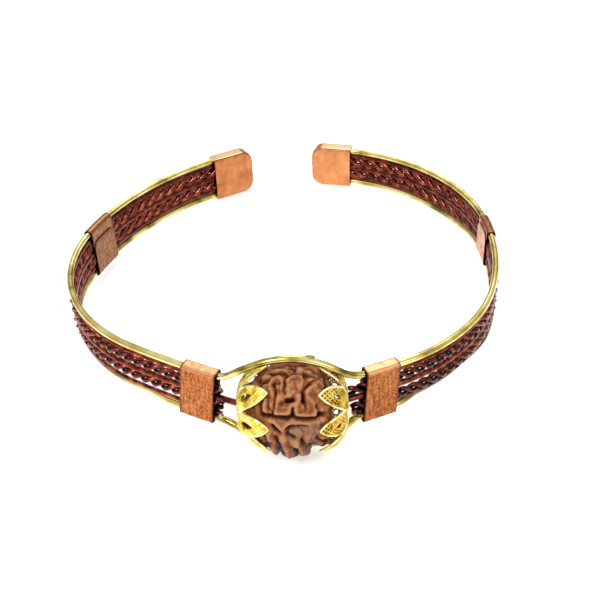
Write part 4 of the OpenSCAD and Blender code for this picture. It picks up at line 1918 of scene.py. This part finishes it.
    def build(self) -> None:
        """Bends the petals' rims and lattice and the middle's rings over the bead's end."""
        rims = [self.ring(self.hub, self.hub_wire), self.ring(self.hole, self.hole_wire)]
        fill = [self.ring((self.hub + self.hole) / 2, self.wave_wire, self.waves, self.wave_swing)]
        for petal in range(self.petals):
            line = self.profile(petal)
            turn = self.first_petal + 360 / self.petals * petal
            edge = self.outline(line, self.petal_edge, line.x_at_radius(self.hub), self.tip_x)
            slit = self.outline(line, self.slit_edge, self.slit_root_x, self.slit_tip_x)
            rims.append(WirePath([self.place(line, *p, turn) for p in edge], self.border))
            slit_places = [self.place(line, *p, turn) for p in slit]
            fill.append(WirePath(slit_places, self.inner_border, WireEnd.CLOSED))
            for run in self.lattice_runs(line):
                fill.append(WirePath([self.place(line, *p, turn, self.sunk) for p in run], self.lattice))
        cap = drawn(f"{self.side.word}_filigree_cap", fill, 6)
        finished(cap, self.finish, f"{self.side.word}_bead_cap")
        finished(drawn(f"{self.side.word}_filigree_rims", rims, 8), self.rim_finish)


@dataclass(frozen=True)
class MetalDrop:
    """A small drop of solder or lump of brass: its place in the plan and its half sizes."""

    name: str
    place: Point
    half_sizes: Point
    finish: Finish = DullSolder()
    unevenness: float = 0.25
    lumps: float = 2.5

    def build(self) -> None:
        """Adds the drop as an uneven little ball."""
        cut = {"segments": 24, "ring_count": 12, "radius": 1, "scale": self.half_sizes}
        piece = started(self.name, bpy.ops.mesh.primitive_uv_sphere_add, **cut)

        def dropped(co: Vector) -> Vector:
            """Place on the laid cuff of a place on the ball, pushed in and out a little."""
            uneven = 1 + self.unevenness * noise.noise(co * self.lumps + Vector(self.place))
            return PLAN.laid(*(middle + part * uneven for middle, part in zip(self.place, co)))

        reshape(piece, dropped)
        smooth(piece, 80)
        finished(piece, self.finish)


# The studio


@dataclass(frozen=True)
class PhotoCamera:
    """The photo's camera, in the cuff's plan: it looks down on the bead's front, rolled a little."""

    distance: float = 155.96330275
    elevation: float = 36.486032
    roll: float = 2.2715549
    across: float = 1.40648707
    along: float = -5.64730378
    lens: float = 57.568

    def build(self) -> None:
        """Adds the camera at the photo's place."""
        rise, roll = math.radians(self.elevation), math.radians(self.roll)
        back = Vector((0, -math.cos(rise), math.sin(rise)))
        right = Vector((1, 0, 0))
        up = back.cross(right)
        place = back * self.distance + right * self.across + up * self.along
        rolled_right = right * math.cos(roll) - up * math.sin(roll)
        rolled_up = right * math.sin(roll) + up * math.cos(roll)
        lay = Matrix.Rotation(math.radians(-PLAN.rest_tilt), 3, "X")
        turn = Matrix((lay @ rolled_right, lay @ rolled_up, lay @ back)).transposed()
        bpy.ops.object.camera_add()
        camera = bpy.context.view_layer.objects.active
        camera.name = "photo_camera"
        camera.data.lens = self.lens
        camera.data.sensor_width = 36
        camera.data.clip_start = 0.001
        camera.matrix_world = Matrix.Translation(PLAN.laid(*place)) @ turn.to_4x4()
        bpy.context.scene.camera = camera


@dataclass(frozen=True)
class SoftBox:
    """A square studio light: where it hangs in metres, its size in metres and its power in watts."""

    name: str
    place: Point
    size: float
    power: float

    def build(self) -> None:
        """Hangs the light so that it faces the cuff."""
        bpy.ops.object.light_add(type="AREA", location=self.place)
        light = bpy.context.view_layer.objects.active
        light.name = self.name
        light.data.size = self.size
        light.data.energy = self.power
        aim = Vector((0, 0, 0.008)) - Vector(self.place)
        light.rotation_euler = aim.to_track_quat("-Z", "Y").to_euler()


@dataclass(frozen=True)
class Studio:
    """White paper, three soft boxes and a sky that is brighter overhead."""

    paper: StudioPaper = StudioPaper()
    paper_size: float = 6.0
    boxes: tuple[SoftBox, ...] = (
        SoftBox("key_light", (-0.14, -0.3, 0.42), 0.11, 1.1),
        SoftBox("fill_light", (0.3, -0.32, 0.26), 0.14, 0.38),
        SoftBox("back_light", (0.05, 0.4, 0.42), 0.18, 0.65),
    )
    sky: tuple[tuple[float, str], ...] = (
        (0.0, "#808080"), (0.5, "#2C2C2C"), (0.57, "#8C8C8C"), (0.7, "#FFFFFF")
    )
    sky_strength: float = 0.8

    def build(self) -> None:
        """Lays the paper, hangs the lights and sets the sky."""
        floor = started("studio_floor", bpy.ops.mesh.primitive_plane_add, size=self.paper_size)
        self.paper.put_on(floor)
        for box in self.boxes:
            box.build()
        world = bpy.data.worlds.new("studio_sky")
        bpy.context.scene.world = world
        world.use_nodes = True
        tree = world.node_tree
        way = add_node(tree, "ShaderNodeTexCoord").outputs["Generated"]
        up = add_node(tree, "ShaderNodeSeparateXYZ", {"Vector": way}).outputs["Z"]
        rise = add_node(tree, "ShaderNodeMapRange", {"From Min": -1.0, "From Max": 1.0, "Value": up})
        ramp = {"stops": self.sky, "Fac": rise.outputs["Result"]}
        sky = add_node(tree, "ShaderNodeValToRGB", ramp).outputs["Color"]
        set_up(tree, tree.nodes["Background"], {"Strength": self.sky_strength, "Color": sky})
        bpy.context.scene.view_settings.view_transform = "Standard"


def main() -> None:
    """Builds the cuff's pieces in order, then the studio."""
    logging.basicConfig(level=logging.INFO, format="%(name)s: %(message)s")
    BrassRails().build()
    PlainWires().build()
    TwistedPairs().build()
    # shaded and lit copies of the copper sheet: the right front and left rear clips are darker copies, turned
    # from the key light, the right rear clip a lighter copy, turned to it
    shaded_sheet = CopperSheet("dulled_satin_copper_sheet", dark="#743A1A", plain="#A45E34", pale="#C4824E")
    # rim colours and painted highlight colours for the rear clips' copies
    with_painted_light = {"rim": "#6A4428", "worn": "#A07048"}
    shaded_rear_sheet = CopperSheet("browned_satin_copper_sheet", dark="#6E4424", plain="#906040", pale="#AC7E58", **with_painted_light)
    with_painted_light = {"rim": "#7A4A30", "worn": "#8A5434", "mottle": 1.6, "depth": 0.02}
    lit_rear_sheet = CopperSheet("pink_satin_copper_sheet", dark="#C07C58", plain="#D89A7C", pale="#E8B496", **with_painted_light)
    rear = {"sheet": 0.13, "band_half": 0.62}
    SheetClip("left_front_clip", Side.LEFT, 10.9, lean=0.5).build()
    SheetClip("right_front_clip", Side.RIGHT, 9.6, shaded_sheet, length=5.0, lean=-0.22).build()
    SheetClip("left_rear_clip", Side.LEFT, 58.8, shaded_rear_sheet, length=6.4, fold=0.6, **rear).build()
    SheetClip("right_rear_clip", Side.RIGHT, 53.6, lit_rear_sheet, fold=0.5, flap_share=0.62, **rear).build()
    # lit and shaded copies for the caps: the right cap lighter, turned to the key light, the left cap darker
    even = {"rim": "#7A4420", "mottle": 2.6, "depth": 0.02, "streak": 0.03}
    tan = {"dark": "#AC6A3E", "plain": "#BE7A4C", "pale": "#CE8A5A", "worn": "#F0CC9C"}
    pale = {"dark": "#C88254", "plain": "#DA905E", "pale": "#E69E6A", "worn": "#F2CFA0"}
    EndCap(Side.LEFT, CopperSheet("satin_cap_copper", **tan, **even), length=8.1, set_back=0.6).build()
    EndCap(Side.RIGHT, CopperSheet("pale_satin_cap_copper", **pale, **even), low_share=0.86).build()
    RudrakshaBead().build()
    FiligreeCap(Side.LEFT, 15.0, reach=7.5, snug_from=5, lattice=0.17, spacing=0.4).build()
    # painted shade: a darker copy of the gold for the right cap, which lies turned from the light
    shaded_gold = GoldFiligree("shaded_gold_filigree", dark="#8E5E12", plain="#D8AC34", bright="#F6DC70")
    narrow = {"lattice": 0.12, "spacing": 0.44, "slit_root_x": 6.2, "slit_half": 0.4}
    FiligreeCap(Side.RIGHT, 9.5, reach=7.2, snug_from=8, finish=shaded_gold, **narrow).build()
    brass = AgedBrass("tarnished_brass_lump", bright="#A89A58", plain="#85763C", tarnish="#57491E")
    MetalDrop("left_solder_drop", (-9.95, -32.4, -2.2), (0.38, 0.35, 0.38)).build()
    MetalDrop("rail_brass_lump", (2.4, -32.8, 7.86), (0.65, 0.42, 0.3), brass).build()
    MetalDrop("right_brass_lump", (9.0, -32.6, -3.0), (0.5, 0.35, 0.35), brass).build()
    PhotoCamera().build()
    Studio().build()


if __name__ == "__main__":
    main()
